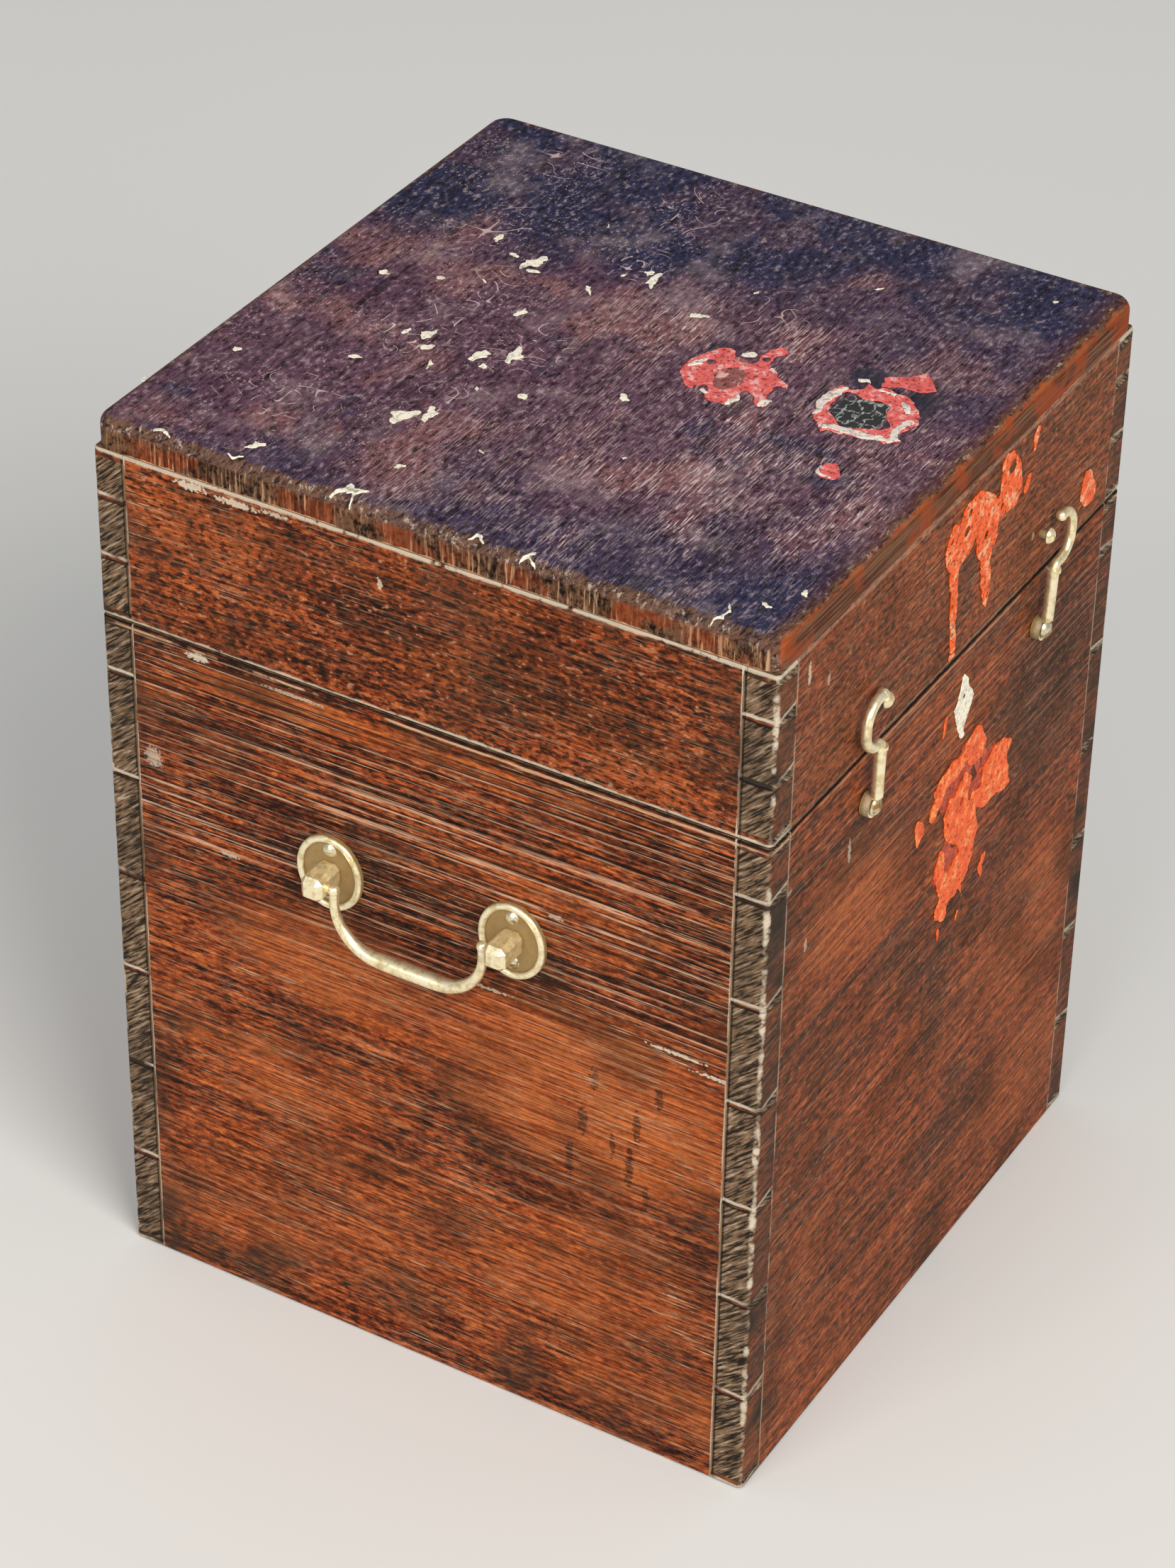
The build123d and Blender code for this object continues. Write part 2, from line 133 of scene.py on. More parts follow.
class Finish:
    """One material, and the few ways in which nodes are added to it."""

    def __init__(self, name):
        self.material = bpy.data.materials.new(name)
        self.material.use_nodes = True
        self.tree = self.material.node_tree
        self.shader = next(n for n in self.tree.nodes if n.type == "BSDF_PRINCIPLED")
        place = self.node("ShaderNodeTexCoord", {}, {}, "Object")
        split = self.node("ShaderNodeSeparateXYZ", {}, {0: place}).socket.node
        self.place = place
        self.x, self.y, self.z = (Value(self, split.outputs[i]) for i in range(3))

    def node(self, kind, settings, sockets, output=0):
        """Any node: its settings first, then the values or links of its sockets."""
        made = self.tree.nodes.new(kind)
        for name, value in settings.items():
            if name == "stops":
                for _ in range(len(value) - 2):
                    made.color_ramp.elements.new(0.5)
                for element, (position, colour) in zip(made.color_ramp.elements, value):
                    element.position = position
                    element.color = (*colour, 1)
            else:
                setattr(made, name, value)
        for key, value in sockets.items():
            self.put(made.inputs[key], value)
        return Value(self, made.outputs[output])

    def put(self, socket, value):
        if isinstance(value, Value):
            self.tree.links.new(value.socket, socket)
        elif socket.type == "RGBA" and len(value) == 3:
            socket.default_value = (*value, 1)
        else:
            socket.default_value = value

    def vector(self, x, y, z):
        return self.node("ShaderNodeCombineXYZ", {}, {0: x, 1: y, 2: z})

    def noise(self, vector, scale, detail, rough):
        sockets = {"Vector": vector, "Scale": scale, "Detail": detail, "Roughness": rough}
        return self.node("ShaderNodeTexNoise", {}, sockets)

    def cloud(self, scale, detail=2.0, rough=0.5):
        """Noise that is alike in all directions."""
        return self.noise(self.place, scale, detail, rough)

    def drawn(self, x, y, z, detail=2.0, rough=0.5, scale=1.0):
        """Noise drawn out or tightened along each coordinate."""
        return self.noise(self.vector(x, y, z), scale, detail, rough)

    def step(self, value, low, high):
        """0 up to low, 1 from high on, smooth between them; low may be the larger."""
        settings = {"interpolation_type": "SMOOTHSTEP"}
        if low < high:
            return self.node("ShaderNodeMapRange", settings, {0: value, 1: low, 2: high, 3: 0.0, 4: 1.0})
        return self.node("ShaderNodeMapRange", settings, {0: value, 1: high, 2: low, 3: 1.0, 4: 0.0})

    def mix(self, share, first, second):
        """Colour between first, at a share of 0, and second, at 1."""
        return self.node("ShaderNodeMix", {"data_type": "RGBA"}, {0: share, 6: first, 7: second}, 2)

    def ramp(self, value, *stops):
        return self.node("ShaderNodeValToRGB", {"stops": stops}, {0: value})

    def bump(self, height, distance, strength):
        sockets = {"Height": height, "Distance": distance, "Strength": strength}
        return self.node("ShaderNodeBump", {}, sockets)

    def shade(self, **sockets):
        """Sets the shader's sockets; an underscore stands for a space."""
        for name, value in sockets.items():
            self.put(self.shader.inputs[name.replace("_", " ")], value)
        return self.material


# ---- Sizes and colours that a user may change ------------
def colour(name, description, default):
    return FloatVectorProperty(
        name=name, description=description, default=default, size=3, subtype="COLOR", min=0, max=1
    )


def length(name, description, default):
    return FloatProperty(
        name=name, description=description, default=default, unit="LENGTH", min=0, precision=5
    )


def power(name, description, default):
    return FloatProperty(name=name, description=description, default=default, unit="POWER", min=0)


class SpiceBoxWood(bpy.types.PropertyGroup):
    # Shadow stain is also laid as painted shade: in the seam, the joints, the furrows' trenches and round
    # the handle plates.
    shadow_stain: colour("Shadow stain", "Stain in the deepest grain", (0.009, 0.005, 0.004))
    dark_stain: colour("Dark stain", "Stain of the dark grain", (0.074, 0.016, 0.006))
    red_stain: colour("Red stain", "Stain of the boards between the dark grain", (0.300, 0.052, 0.012))
    orange_stain: colour("Orange stain", "Stain where the boards are worn thin", (0.62, 0.175, 0.042))
    pale_fibre: colour("Pale fibre", "Bare raised fibres", (0.62, 0.37, 0.21))
    worn_edge: colour("Worn edge", "Wood and filler on worn arrises and joints", (0.62, 0.53, 0.40))
    grime: colour("Grime", "Old dirt", (0.034, 0.026, 0.018))
    dust: colour("Dust", "Pale dust in the pores", (0.21, 0.155, 0.085))
    end_grain: colour("End grain", "Sawn ends of the boards", (0.200, 0.120, 0.068))
    bare_wood: colour("Bare wood", "Unstained inside of the boards", (0.42, 0.27, 0.15))
    ring_width: length("Ring width", "Width of a growth ring on the face of a board", 0.0034)
    grain_depth: length("Grain depth", "Height of the raised grain", 0.0006)


class SpiceBoxTop(bpy.types.PropertyGroup):
    plum_stain: colour("Plum stain", "Stain of the top board", (0.110, 0.048, 0.078))
    # The navy is laid in zones, where it is stain and a painted sky reflection.
    navy_stain_and_sheen: colour("Navy stain", "Blue-black stain of the top board", (0.020, 0.026, 0.068))
    rubbed_streak: colour("Rubbed streak", "Pale streaks along the grain", (0.78, 0.57, 0.55))
    brown_stain: colour("Brown stain", "Warmer patches of the top board", (0.235, 0.092, 0.082))
    worn_rim: colour("Worn rim", "Worn front edge", (0.32, 0.105, 0.033))
    rim_dirt: colour("Rim dirt", "Dirty rim and sawn edge", (0.165, 0.082, 0.042))
    scraped: colour("Scraped", "Scrape inside the ring of paint", (0.030, 0.034, 0.034))
    nicks: colour("Nicks", "Pale nicks in the scrape", (0.42, 0.43, 0.40))
    smudge: colour("Smudge", "Dirt round the paint", (0.020, 0.022, 0.035))


class SpiceBoxBrass(bpy.types.PropertyGroup):
    bright_brass: colour("Bright brass", "Rubbed brass", (0.98, 0.87, 0.59))
    dull_brass: colour("Dull brass", "Tarnished brass", (0.74, 0.60, 0.31))
    # Laid in the hollows of the fittings, this brown is tarnish and painted shade.
    tarnish_and_shade: colour("Tarnish", "Golden brown of the hollows", (0.27, 0.150, 0.034))
    screw_brass: colour("Screw brass", "Pale screw heads", (0.80, 0.72, 0.52))


class SpiceBoxPaint(bpy.types.PropertyGroup):
    orange_paint: colour("Orange paint", "Paint on the front", (0.87, 0.110, 0.010))
    coral_paint: colour("Coral paint", "Paint on the top board", (0.77, 0.130, 0.115))
    # The paler paint colours go on the tops of the lumps, where they are also a painted highlight.
    faded_orange_and_highlight: colour("Faded orange", "Paler parts of the front's paint", (0.93, 0.31, 0.085))
    worn_orange: colour("Worn orange", "Paler parts of the paint on the lid's front", (0.84, 0.40, 0.20))
    faded_coral: colour("Faded coral", "Paler parts of the top's paint", (0.84, 0.45, 0.41))
    thick_film: colour("Thick film", "Denser parts of the film", (0.62, 0.090, 0.022))
    thin_paint: colour("Thin paint", "Film of paint smeared on the front", (0.43, 0.048, 0.014))
    coral_film: colour("Coral film", "Thin paint in the middle of the top's patch", (0.30, 0.10, 0.085))
    crust: colour("Crust", "Pale crust round the ring of paint", (0.76, 0.66, 0.58))
    cream_paint: colour("Cream paint", "Small flecks", (0.90, 0.83, 0.66))
    skin_thickness: length("Skin thickness", "Thickness of the dried paint", 0.0005)
    skin_cell: length("Skin cell", "Mesh size of the paint", 0.0009)
    smoothing: IntProperty(
        name="Smoothing", description="Passes that round the paint's outline", default=5, min=0
    )


class SpiceBoxStage(bpy.types.PropertyGroup):
    floor_colour: colour("Floor colour", "Plain floor", (0.74, 0.73, 0.70))
    key_power: power("Key power", "Large soft lamp", 208.0)
    fill_power: power("Fill power", "Lamp on the handle side", 66.0)
    sky_strength: FloatProperty(
        name="Sky strength", description="Even light from all round", default=0.42, min=0
    )
    lens: FloatProperty(name="Lens", description="Focal length, millimetres", default=104.49, min=1)


# ---- Wood ------------------------------------------------
# How strong each part of the figure, the wear, the painted shade and the painted highlights is: on the
# sides of the body, its front and back, the sides of the lid, and its front and back.
LOOK_KINDS = ("body_side", "body_end", "lid_side", "lid_end")
LOOK_VALUES = {
    "seed": (1.3, 4.7, 6.1, 8.9),  # shifts the noises
    "slope": (0.5, 0.9, 0.7, 0.9),  # of the growth rings through the board
    "figure": (0.47, 0.36, 0.34, 0.2),  # contrast of the growth rings
    "fibre": (0.3, 0.18, 0.18, 0.15),  # contrast of the fibres
    "fleck": (0.85, 0.55, 0.8, 0.5),  # contrast of the flecks
    "furrows": (1.0, 0.3, 0.12, 0.12),  # strength of the furrows: painted shade in the trench, painted highlight on the worn ridge
    "furrow_from": (0.185, 0.2, 0.3, 0.3),  # height at which they deepen
    "furrow_full": (0.245, 0.32, 0.34, 0.34),  # height from which they are full
    "orange": (0.64, 0.41, 0.33, 0.35),  # worn, warm zones
    "shade": (0.65, 0.66, 0.92, 0.45),  # dark zones
    "speckle": (0.28, 0.4, 0.85, 0.68),  # rubbed and dirty pores
    "dust": (0.0, 0.17, 0.03, 0.26),  # pale dust in the pores
    "dashes": (0.8, 0.3, 0.42, 0.45),  # bare raised fibres
    "rim": (0.0, 0.0, 0.9, 0.2),  # wear along both rims
    "seam": (0.9, 1.0, 0.0, 1.0),  # painted shade along the seam
    "ridge": (0.9, 0.45, 0.0, 0.0),  # pale ridge below the seam: a painted highlight on the rounded rim
    "relief": (2.2, 1.0, 1.6, 1.0),  # height of the grain
}
# Single stains, dark marks, painted shadows and scratches are on the front and left boards only: none
# before, all beyond.
SEEN_FROM = (-0.100, -0.120)
SMALL_SPOT = 16  # half length, in millimetres, below which a stain has a nibbled edge
SPOT_SORTS = ("warm_spots", "dark_spots", "pale_spots", "scratches")
# Stains, dark marks, painted shadows and scratches are ovals, in millimetres: middle along and up the
# board, half length, half height, strength.
BODY_SIDE_SPOTS = {
    "warm_spots": [
        (-75, 178, 78, 50, 0.75), (45, 196, 55, 28, 0.65), (-30, 319, 70, 8, 0.25),
        (65, 317, 60, 8, 0.65), (-60, 208, 60, 10, 0.35), (95, 40, 50, 24, 0.4),
        (-60, 262, 50, 22, 0.25), (10, 70, 120, 40, 0.22), (-90, 90, 50, 40, 0.35),
    ],
    "dark_spots": [
        # The first two dark ovals, round the handle plates, are the handles' shadows painted on the wood.
        (47, 241, 34, 27, 0.8), (-41, 236, 30, 25, 0.75), (0, 224, 75, 9, 0.55),
        (62, 264, 60, 13, 0.45), (-68, 142, 2, 9, 0.85), (-96, 149, 2, 11, 0.9), (-99, 171, 2, 8, 0.85),
        (-109, 191, 2, 6, 0.8), (-74, 166, 2, 7, 0.85), (-79, 189, 2, 5, 0.8), (-88, 158, 1.5, 6, 0.8),
        (-104, 136, 1.5, 7, 0.8), (-4, 29, 14, 10, 0.5), (-69, 48, 11, 9, 0.5), (110, 284, 36, 20, 0.4),
    ],
    "pale_spots": [
        (105, 250, 30, 45, 0.45), (-95, 217, 45, 8, 0.95), (-126, 84, 14, 17, 0.5),
        (104, 144, 13, 10, 0.4), (-100, 150, 50, 60, 0.35), (-100, 50, 50, 45, 0.4),
    ],
    "scratches": [
        (-116, 217, 12, 0.9, 0.9), (-137, 212, 12, 0.9, 0.9), (107, 325, 5, 1.8, 0.9),
        (131, 268, 4, 4.5, 0.6), (-143, 256, 4, 1.2, 0.8), (-60, 262, 3, 1.2, 0.7),
        (-30, 214, 9, 0.8, 0.6), (62, 323, 14, 0.8, 0.6), (95, 232, 5, 1.0, 0.7),
    ],
}
BODY_END_SPOTS = {
    "warm_spots": [
        (-78, 262, 52, 26, 0.6), (-60, 240, 40, 18, 0.3), (95, 140, 45, 60, 0.35),
        (100, 50, 55, 32, 0.35),
    ],
    "dark_spots": [
        (4, 150, 13, 34, 0.75), (27, 98, 11, 13, 0.6), (-8, 190, 9, 9, 0.5), (24, 138, 10, 9, 0.45),
        (-79, 294, 8, 9, 0.6), (-64, 291, 7, 8, 0.5), (12, 196, 9, 8, 0.6), (26, 198, 8, 7, 0.55),
        (-15, 164, 10, 9, 0.35), (95, 262, 64, 66, 0.9), (60, 190, 40, 40, 0.45),
        (-132, 150, 14, 150, 0.4), (-70, 60, 50, 50, 0.25),
    ],
    "pale_spots": [(-108, 110, 44, 70, 0.3), (-82, 292, 15, 5, 0.9), (-146, 200, 6, 90, 0.5)],
    "scratches": [(-86, 289, 1.2, 6, 0.8), (-137, 300, 3, 1.2, 0.6), (-120, 265, 1.2, 3, 0.5)],
}
LID_SIDE_SPOTS = {
    "warm_spots": [(100, 385, 45, 18, 0.3), (-40, 362, 60, 16, 0.35), (-95, 350, 26, 16, 0.35)],
    "dark_spots": [
        (60, 345, 60, 14, 0.45), (-10, 395, 120, 9, 0.35), (-60, 385, 60, 12, 0.35),
        (0, 352, 70, 16, 0.35),
    ],
    "pale_spots": [(-96, 350, 20, 13, 0.55), (135, 380, 12, 24, 0.6)],
    "scratches": [
        (107, 405, 7, 1.8, 0.9), (86, 404, 9, 1.5, 0.8), (68, 405, 6, 1.0, 0.7),
        (20, 390, 1.2, 2.5, 0.7),
    ],
}
LID_END_SPOTS = {
    "warm_spots": [(-100, 352, 30, 16, 0.3), (70, 350, 60, 14, 0.25)],
    "dark_spots": [
        (7, 362, 6, 13, 0.75), (-68, 352, 9, 7, 0.65), (-78, 345, 6, 8, 0.5), (86, 347, 9, 8, 0.6),
        (100, 395, 40, 12, 0.3),
    ],
    "pale_spots": [(9, 407, 4, 4, 0.6), (19, 401, 5, 4, 0.6), (86, 354, 8, 6, 0.9)],
    "scratches": [(-128, 396, 1.2, 5, 0.7), (-112, 385, 1.2, 3, 0.5), (66, 352, 1.2, 2, 0.5)],
}
# Bands in which wear, dirt, lines, painted shade and painted highlights come in, in metres from what they
# keep to: none at the first distance, full at the second.
FOOT_DIRT = (0.080, 0.0)
EDGE_DIRT = (0.034, 0.002)
ARRIS_WEAR = (0.0019, 0.0006)
RIM_WEAR = (0.0021, 0.0011)
SEAM_SHADE = (0.0016, 0.0009)
SEAM_RIM_HIGHLIGHT = (0.0009, 0.0003)
SEAM_HIGHLIGHT_DROP = 0.0026
PIN_LINE = (0.0011, 0.0004)
PIN_GAP = (0.0008, 0.0002)
SIDE_LINE = (0.0006, 0.0002)
SIDE_GAP = (0.0009, 0.0003)
SIDE_GAP_SHIFT = 0.0010
FRONT_LINE = (0.0007, 0.0002)
FACE_EDGE = (0.0003, 0.0001)
TOP_FRONT_DIRT = (0.012, 0.002)
TOP_FRONT_RIM = (0.0026, 0.0008)
TOP_RIM = (0.0050, 0.0020)
# Zones of the top board, in the same way, by place across it; the blue zones are navy stain with a
# painted sky reflection.
FAR_BLUE = (0.030, 0.090)
NEAR_BLUE = (0.085, 0.145)
CORNER_BLUE = (0.190, 0.250)
RIGHT_BLUE = (0.050, 0.110)
FORWARD = (0.060, -0.050)
# Hairlines, a scrape and dirt on the top board: ovals like those of the stains.
TOP_HAIRS = [
    (117, 35, 24, 20, 0.7), (62, -36, 22, 16, 0.6), (67, 34, 18, 16, 0.7), (-26, 82, 26, 22, 0.8),
    (-18, 37, 26, 20, 0.8), (128, 101, 20, 18, 0.6), (60, 100, 30, 20, 0.6), (-100, 100, 24, 34, 0.6),
    (20, 72, 26, 18, 0.7), (-70, 40, 24, 20, 0.6),
]
TOP_SCRAPE = [(8, -101, 15, 12, 0.95)]
TOP_SMUDGES = [
    (28, -118, 16, 9, 0.8), (34, -92, 9, 8, 0.7), (24, -31, 8, 6, 0.5), (-14, -56, 8, 6, 0.5),
]


def spots(finish, along, up, places, uneven, nibbled):
    """Ovals of stain: wide ones are soft, small ones have a nibbled edge."""
    cover = uneven * 0
    for middle, height, reach, rise, strength in places:
        sideways = (along - middle * MM) / (reach * MM)
        upwards = (up - height * MM) / (rise * MM)
        small = reach < SMALL_SPOT
        off = sideways * sideways + upwards * upwards + (nibbled if small else uneven)
        core = 0.65 if small else 0.15
        cover = cover.most(finish.step(off, 1.25, core) * strength)
    return cover


def grain_of(finish, along, across, through, slope, ring_width, seed):
    """The parts of a board's figure, from places along and across its grain and through the board."""
    bend = finish.drawn(along * 2.6 + seed, across * 5.0, through * 2.0, detail=1.0)
    ring = across + through * slope + bend * 0.014
    growth = finish.drawn(along * 2.2 + seed, ring / ring_width, through * 20, detail=3.0, rough=0.62)
    streaks = finish.drawn(along * 26, ring * 900 + seed, through * 250, detail=4.0, rough=0.65)
    flecks = finish.drawn(along * 170 + seed, ring * 560, through * 500, detail=4.0, rough=0.7)
    return ring, growth, streaks, flecks


def joint_lines(finish, foot, pitch):
    """Pale and dark lines round each dovetail pin and along the joint between two boards: the dark ones
    are painted shadow, and the pale upper flank of each pin is a painted highlight.
    """
    step = finish.step
    x = abs(finish.x)
    y = abs(finish.y)
    wobble = (finish.cloud(170.0, detail=3.0) - 0.5) * 0.0016
    corner = step(x, INNER_X - 0.0001, INNER_X + 0.0001) * step(y, INNER_Y - 0.0001, INNER_Y + 0.0001)
    past_pin = (finish.z - foot).past_nearest_multiple(pitch)
    spread = ((HALF_WIDTH - x).most(0.0)).least(BOARD) * PIN_SLOPE + PIN_HALF
    # Each pin's upper flank is a painted highlight, and its lower flank is a painted shadow.
    lit_flank = step(abs(past_pin - spread + wobble), *PIN_LINE) * corner
    shaded_flank = step(abs(past_pin + spread + wobble), *PIN_GAP) * corner
    on_side = step(x, INNER_X + 0.012, HALF_WIDTH - 0.001)
    on_front = step(y, INNER_Y + 0.012, HALF_DEPTH - 0.001)
    side_line = step(abs(y - INNER_Y + wobble * 0.4), *SIDE_LINE) * on_side
    # A pale line along the joint, and a painted shadow beside it.
    side_gap_shade = step(abs(y - INNER_Y - SIDE_GAP_SHIFT + wobble * 0.4), *SIDE_GAP) * on_side
    front_line = step(abs(x - INNER_X + wobble * 0.4), *FRONT_LINE) * on_front * 0.5
    flat = 1 - on_front * 0.3
    return (lit_flank * flat).most(side_line).most(front_line), (shaded_flank * flat).most(side_gap_shade)


def arris_wear(finish):
    """Fine chips and broad bruises, that break up worn arrises."""
    return finish.cloud(190.0, detail=4.0, rough=0.65), finish.cloud(38.0, detail=4.0, rough=0.6)


def never_stained(finish, wood, growth, fibres):
    """The bare wood of the inner faces."""
    return finish.mix(growth * 0.55 + fibres * 0.25, wood.bare_wood, wood.dark_stain)


def board_wood(name, wood, kind, axes, foot, head, pitch, places):
    """Stained softwood with raised grain, worn arrises, joint lines and a bare inside face, with painted
    shade and highlights in the furrows, the joints and the seam.
    """
    finish = Finish(name)
    mix, step = finish.mix, finish.step
    look = {part: values[LOOK_KINDS.index(kind)] for part, values in LOOK_VALUES.items()}
    seed = look["seed"]
    along, across, through = ({"x": finish.x, "y": finish.y, "z": finish.z}[axis] for axis in axes)
    ring, growth, streaks, flecks = grain_of(
        finish, along, across, through, look["slope"], wood.ring_width, seed
    )
    figure = (growth - 0.5) * look["figure"] + (streaks - 0.5) * look["fibre"]
    figure = figure + (flecks - 0.5) * look["fleck"]
    stain = finish.ramp(
        figure + 0.5,
        (0.37, wood.shadow_stain),
        (0.45, wood.dark_stain),
        (0.54, wood.red_stain),
        (0.68, wood.orange_stain),
    )

    # Broad stain zones, stretched along the grain, and single stains, dark marks, painted shadows and
    # scratches on the seen face.
    seen = step(through, *SEEN_FROM)
    uneven = (flecks - 0.5) * 1.2 + (growth - 0.5) * 0.5
    nibbled = uneven + (finish.cloud(700.0, detail=2.0) - 0.5) * 4.5
    warm_spots, dark_spots, scuffs, scratches = (
        spots(finish, along, across, places[sort], uneven, nibbled) * seen for sort in SPOT_SORTS
    )
    zone = finish.drawn(along * 9 + seed, across * 17, through * 9, detail=4.0, rough=0.6)
    warm = step(zone, 0.50, 0.70) * look["orange"]
    warm = warm.most(warm_spots)
    warm_tone = mix(step(streaks, 0.40, 0.58), wood.red_stain, wood.orange_stain)
    stain = mix(warm * (0.35 + streaks), stain, warm_tone)
    shade = finish.drawn(along * 12, across * 20 + seed, through * 12, detail=5.0, rough=0.65)
    shade = step(shade, 0.47, 0.66) * look["shade"]
    # The dark spots take in the painted shadows round the handle plates.
    shade = shade.most(dark_spots)
    stain = mix(shade * (1.3 - streaks), stain, wood.shadow_stain)

    # Fine speckle of rubbed and dirty pores.
    pores = finish.drawn(along * 330, across * 560, through * 560 + seed, detail=2.0)
    stain = mix(step(pores, 0.52, 0.68) * look["speckle"] * 0.6, stain, wood.red_stain)
    stain = mix(step(pores, 0.50, 0.34) * look["speckle"], stain, wood.shadow_stain)
    stain = mix(step(pores, 0.63, 0.72) * look["speckle"] * 0.5, stain, wood.pale_fibre)
    stain = mix(pores * look["dust"], stain, wood.dust)

    # Furrows between hard rings: a dark trench of painted shade beside a pale ridge of worn fibres with a
    # painted highlight.
    phase = (ring / (wood.ring_width * 1.3) + growth * 1.6).past_nearest_multiple(1)
    deep = step(across, look["furrow_from"], look["furrow_full"]) * 0.8 + 0.2
    broken = finish.drawn(along * 13 + seed, ring * 120, through * 60, detail=3.0, rough=0.6)
    deep = deep * look["furrows"] * step(broken, 0.34, 0.50)
    trench = step(phase, 0.02, 0.16) * step(phase, 0.49, 0.20) * deep
    ridge = step(abs(phase), 0.17, 0.04) * deep
    stain = mix(trench * 0.88, stain, wood.shadow_stain)
    ridge_tone = mix(flecks, wood.orange_stain, wood.worn_edge)
    stain = mix(ridge * step(streaks, 0.42, 0.54) * 0.9, stain, ridge_tone)

    # Bare raised fibres, fine pale dashes, and scratches down to the wood.
    dashes = finish.drawn(along * 48 + seed, ring * 1400, through * 300, detail=3.0, rough=0.65)
    dashes = step(dashes, 0.575, 0.66)
    rubbed = step(finish.cloud(19.0, detail=4.0, rough=0.6), 0.38, 0.60)
    dashes = dashes * (rubbed * look["dashes"] + scuffs).least(1)
    stain = mix(dashes, stain, wood.pale_fibre)
    stain = mix(scratches, stain, wood.worn_edge)

    # Old dirt, darkest by the arrises and the foot.
    to_corner = (HALF_WIDTH - abs(finish.x)) + (HALF_DEPTH - abs(finish.y))
    grimy = step(finish.cloud(26.0, detail=4.0), 0.46, 0.70)
    low_dirt = step(finish.z, *FOOT_DIRT) * 0.40
    edge_dirt = step(to_corner, *EDGE_DIRT) * 0.4
    strip = step(to_corner, BOARD + 0.0006, BOARD - 0.0006) * 0.45
    stain = mix(grimy * 0.35 + (low_dirt + edge_dirt) * grimy + strip, stain, wood.grime)

    # Sawn ends.
    span = HALF_WIDTH if axes[0] == "x" else HALF_DEPTH
    sawn = step(abs(along), span - 0.0016, span - 0.0004)
    saw_mark = finish.drawn(along, ring * 640, (across - through) * 70, detail=3.0, rough=0.65)
    cut = mix(step(saw_mark, 0.42, 0.56), wood.grime, wood.end_grain)
    cut = mix(step(saw_mark, 0.47, 0.38) * 0.6, cut, wood.shadow_stain)
    cut = mix(step(saw_mark, 0.57, 0.66) * 0.42, cut, wood.worn_edge)
    cut = mix(grimy * 0.4, cut, wood.grime)
    stain = mix(sawn, stain, cut)

    # Worn arrises and rims, and painted shade and painted highlights at the seam and the joints.
    chips, bruises = arris_wear(finish)
    rub = (bruises - 0.5) * 0.010 + (chips - 0.5) * 0.006
    corner_wear = step(to_corner - rub * 0.5, *ARRIS_WEAR) * step(bruises, 0.38, 0.50)
    to_rim = head - finish.z
    if foot > 0:
        to_rim = to_rim.least(finish.z - foot)
    rim_wear = step(to_rim - rub * 0.25, *RIM_WEAR) * look["rim"] * step(chips, 0.30, 0.44)
    below_seam = (SEAM + LID_FOOT) / 2 - finish.z
    # A band of painted shade along the seam, and a painted highlight on the rounded rim below it.
    seam_shade = step(abs(below_seam) - (chips - 0.5) * 0.0008, *SEAM_SHADE) * look["seam"]
    below_highlight = below_seam - SEAM_HIGHLIGHT_DROP - (bruises - 0.5) * 0.002
    seam_rim_highlight = step(abs(below_highlight), *SEAM_RIM_HIGHLIGHT) * step(bruises, 0.40, 0.50) * look["ridge"]
    chipped = step(chips, 0.38, 0.52)
    wear = corner_wear * chipped
    lines, gaps = joint_lines(finish, foot, pitch)
    lines = lines * step(bruises, 0.40, 0.54)
    # Painted shade in the joints' gaps and along the seam.
    stain = mix((gaps * 0.8).most(seam_shade), stain, wood.shadow_stain)
    # A painted highlight on the rounded rim below the seam.
    stain = mix(seam_rim_highlight, stain, wood.pale_fibre)
    stain = mix(rim_wear * 0.85, stain, wood.worn_edge)
    stain = mix(wear * 0.9, stain, wood.worn_edge)
    # Pale joint lines: worn filler, with a painted highlight on each pin's upper flank.
    stain = mix(lines * 0.8, stain, wood.worn_edge)

    # The rims that meet at the seam are dirty wood.
    rim_face = step(to_rim, *FACE_EDGE)
    rim_wood = mix(step(flecks, 0.36, 0.64), wood.grime, wood.end_grain)
    stain = mix(rim_face, stain, rim_wood)

    # The inside of the board was never stained.
    depth = INNER_X if axes[2] == "x" else INNER_Y
    inside = step(abs(through), depth + 0.0012, depth + 0.0002)
    bare = mix(grimy * 0.4, never_stained(finish, wood, growth, streaks), wood.grime)
    base = mix(inside, stain, bare)

    height = streaks * 0.5 + flecks * 0.3 + ridge * 0.6 - trench * 0.7 - lines * 0.3
    height = height - gaps * 0.8 + dashes * 0.3
    rough = 0.56 - streaks * 0.16 + wear * 0.25 + inside * 0.3 + grimy * 0.15
    return finish.shade(
        Base_Color=base,
        Roughness=rough,
        Normal=finish.bump(height, wood.grain_depth * look["relief"], 0.8),
        Specular_IOR_Level=0.05,
    )


def hair_scratches(finish, scale, shift):
    """Short curved hairlines: pieces of the contours of a smooth noise."""
    field = finish.drawn(finish.x + shift, finish.y * 0.8, 0.0, scale=scale, detail=0.0)
    ends = finish.drawn(finish.x, finish.y + shift, 1.0, scale=scale * 1.9, detail=0.0)
    return finish.step(abs(field - 0.5), 0.011, 0.004) * finish.step(ends, 0.50, 0.56)


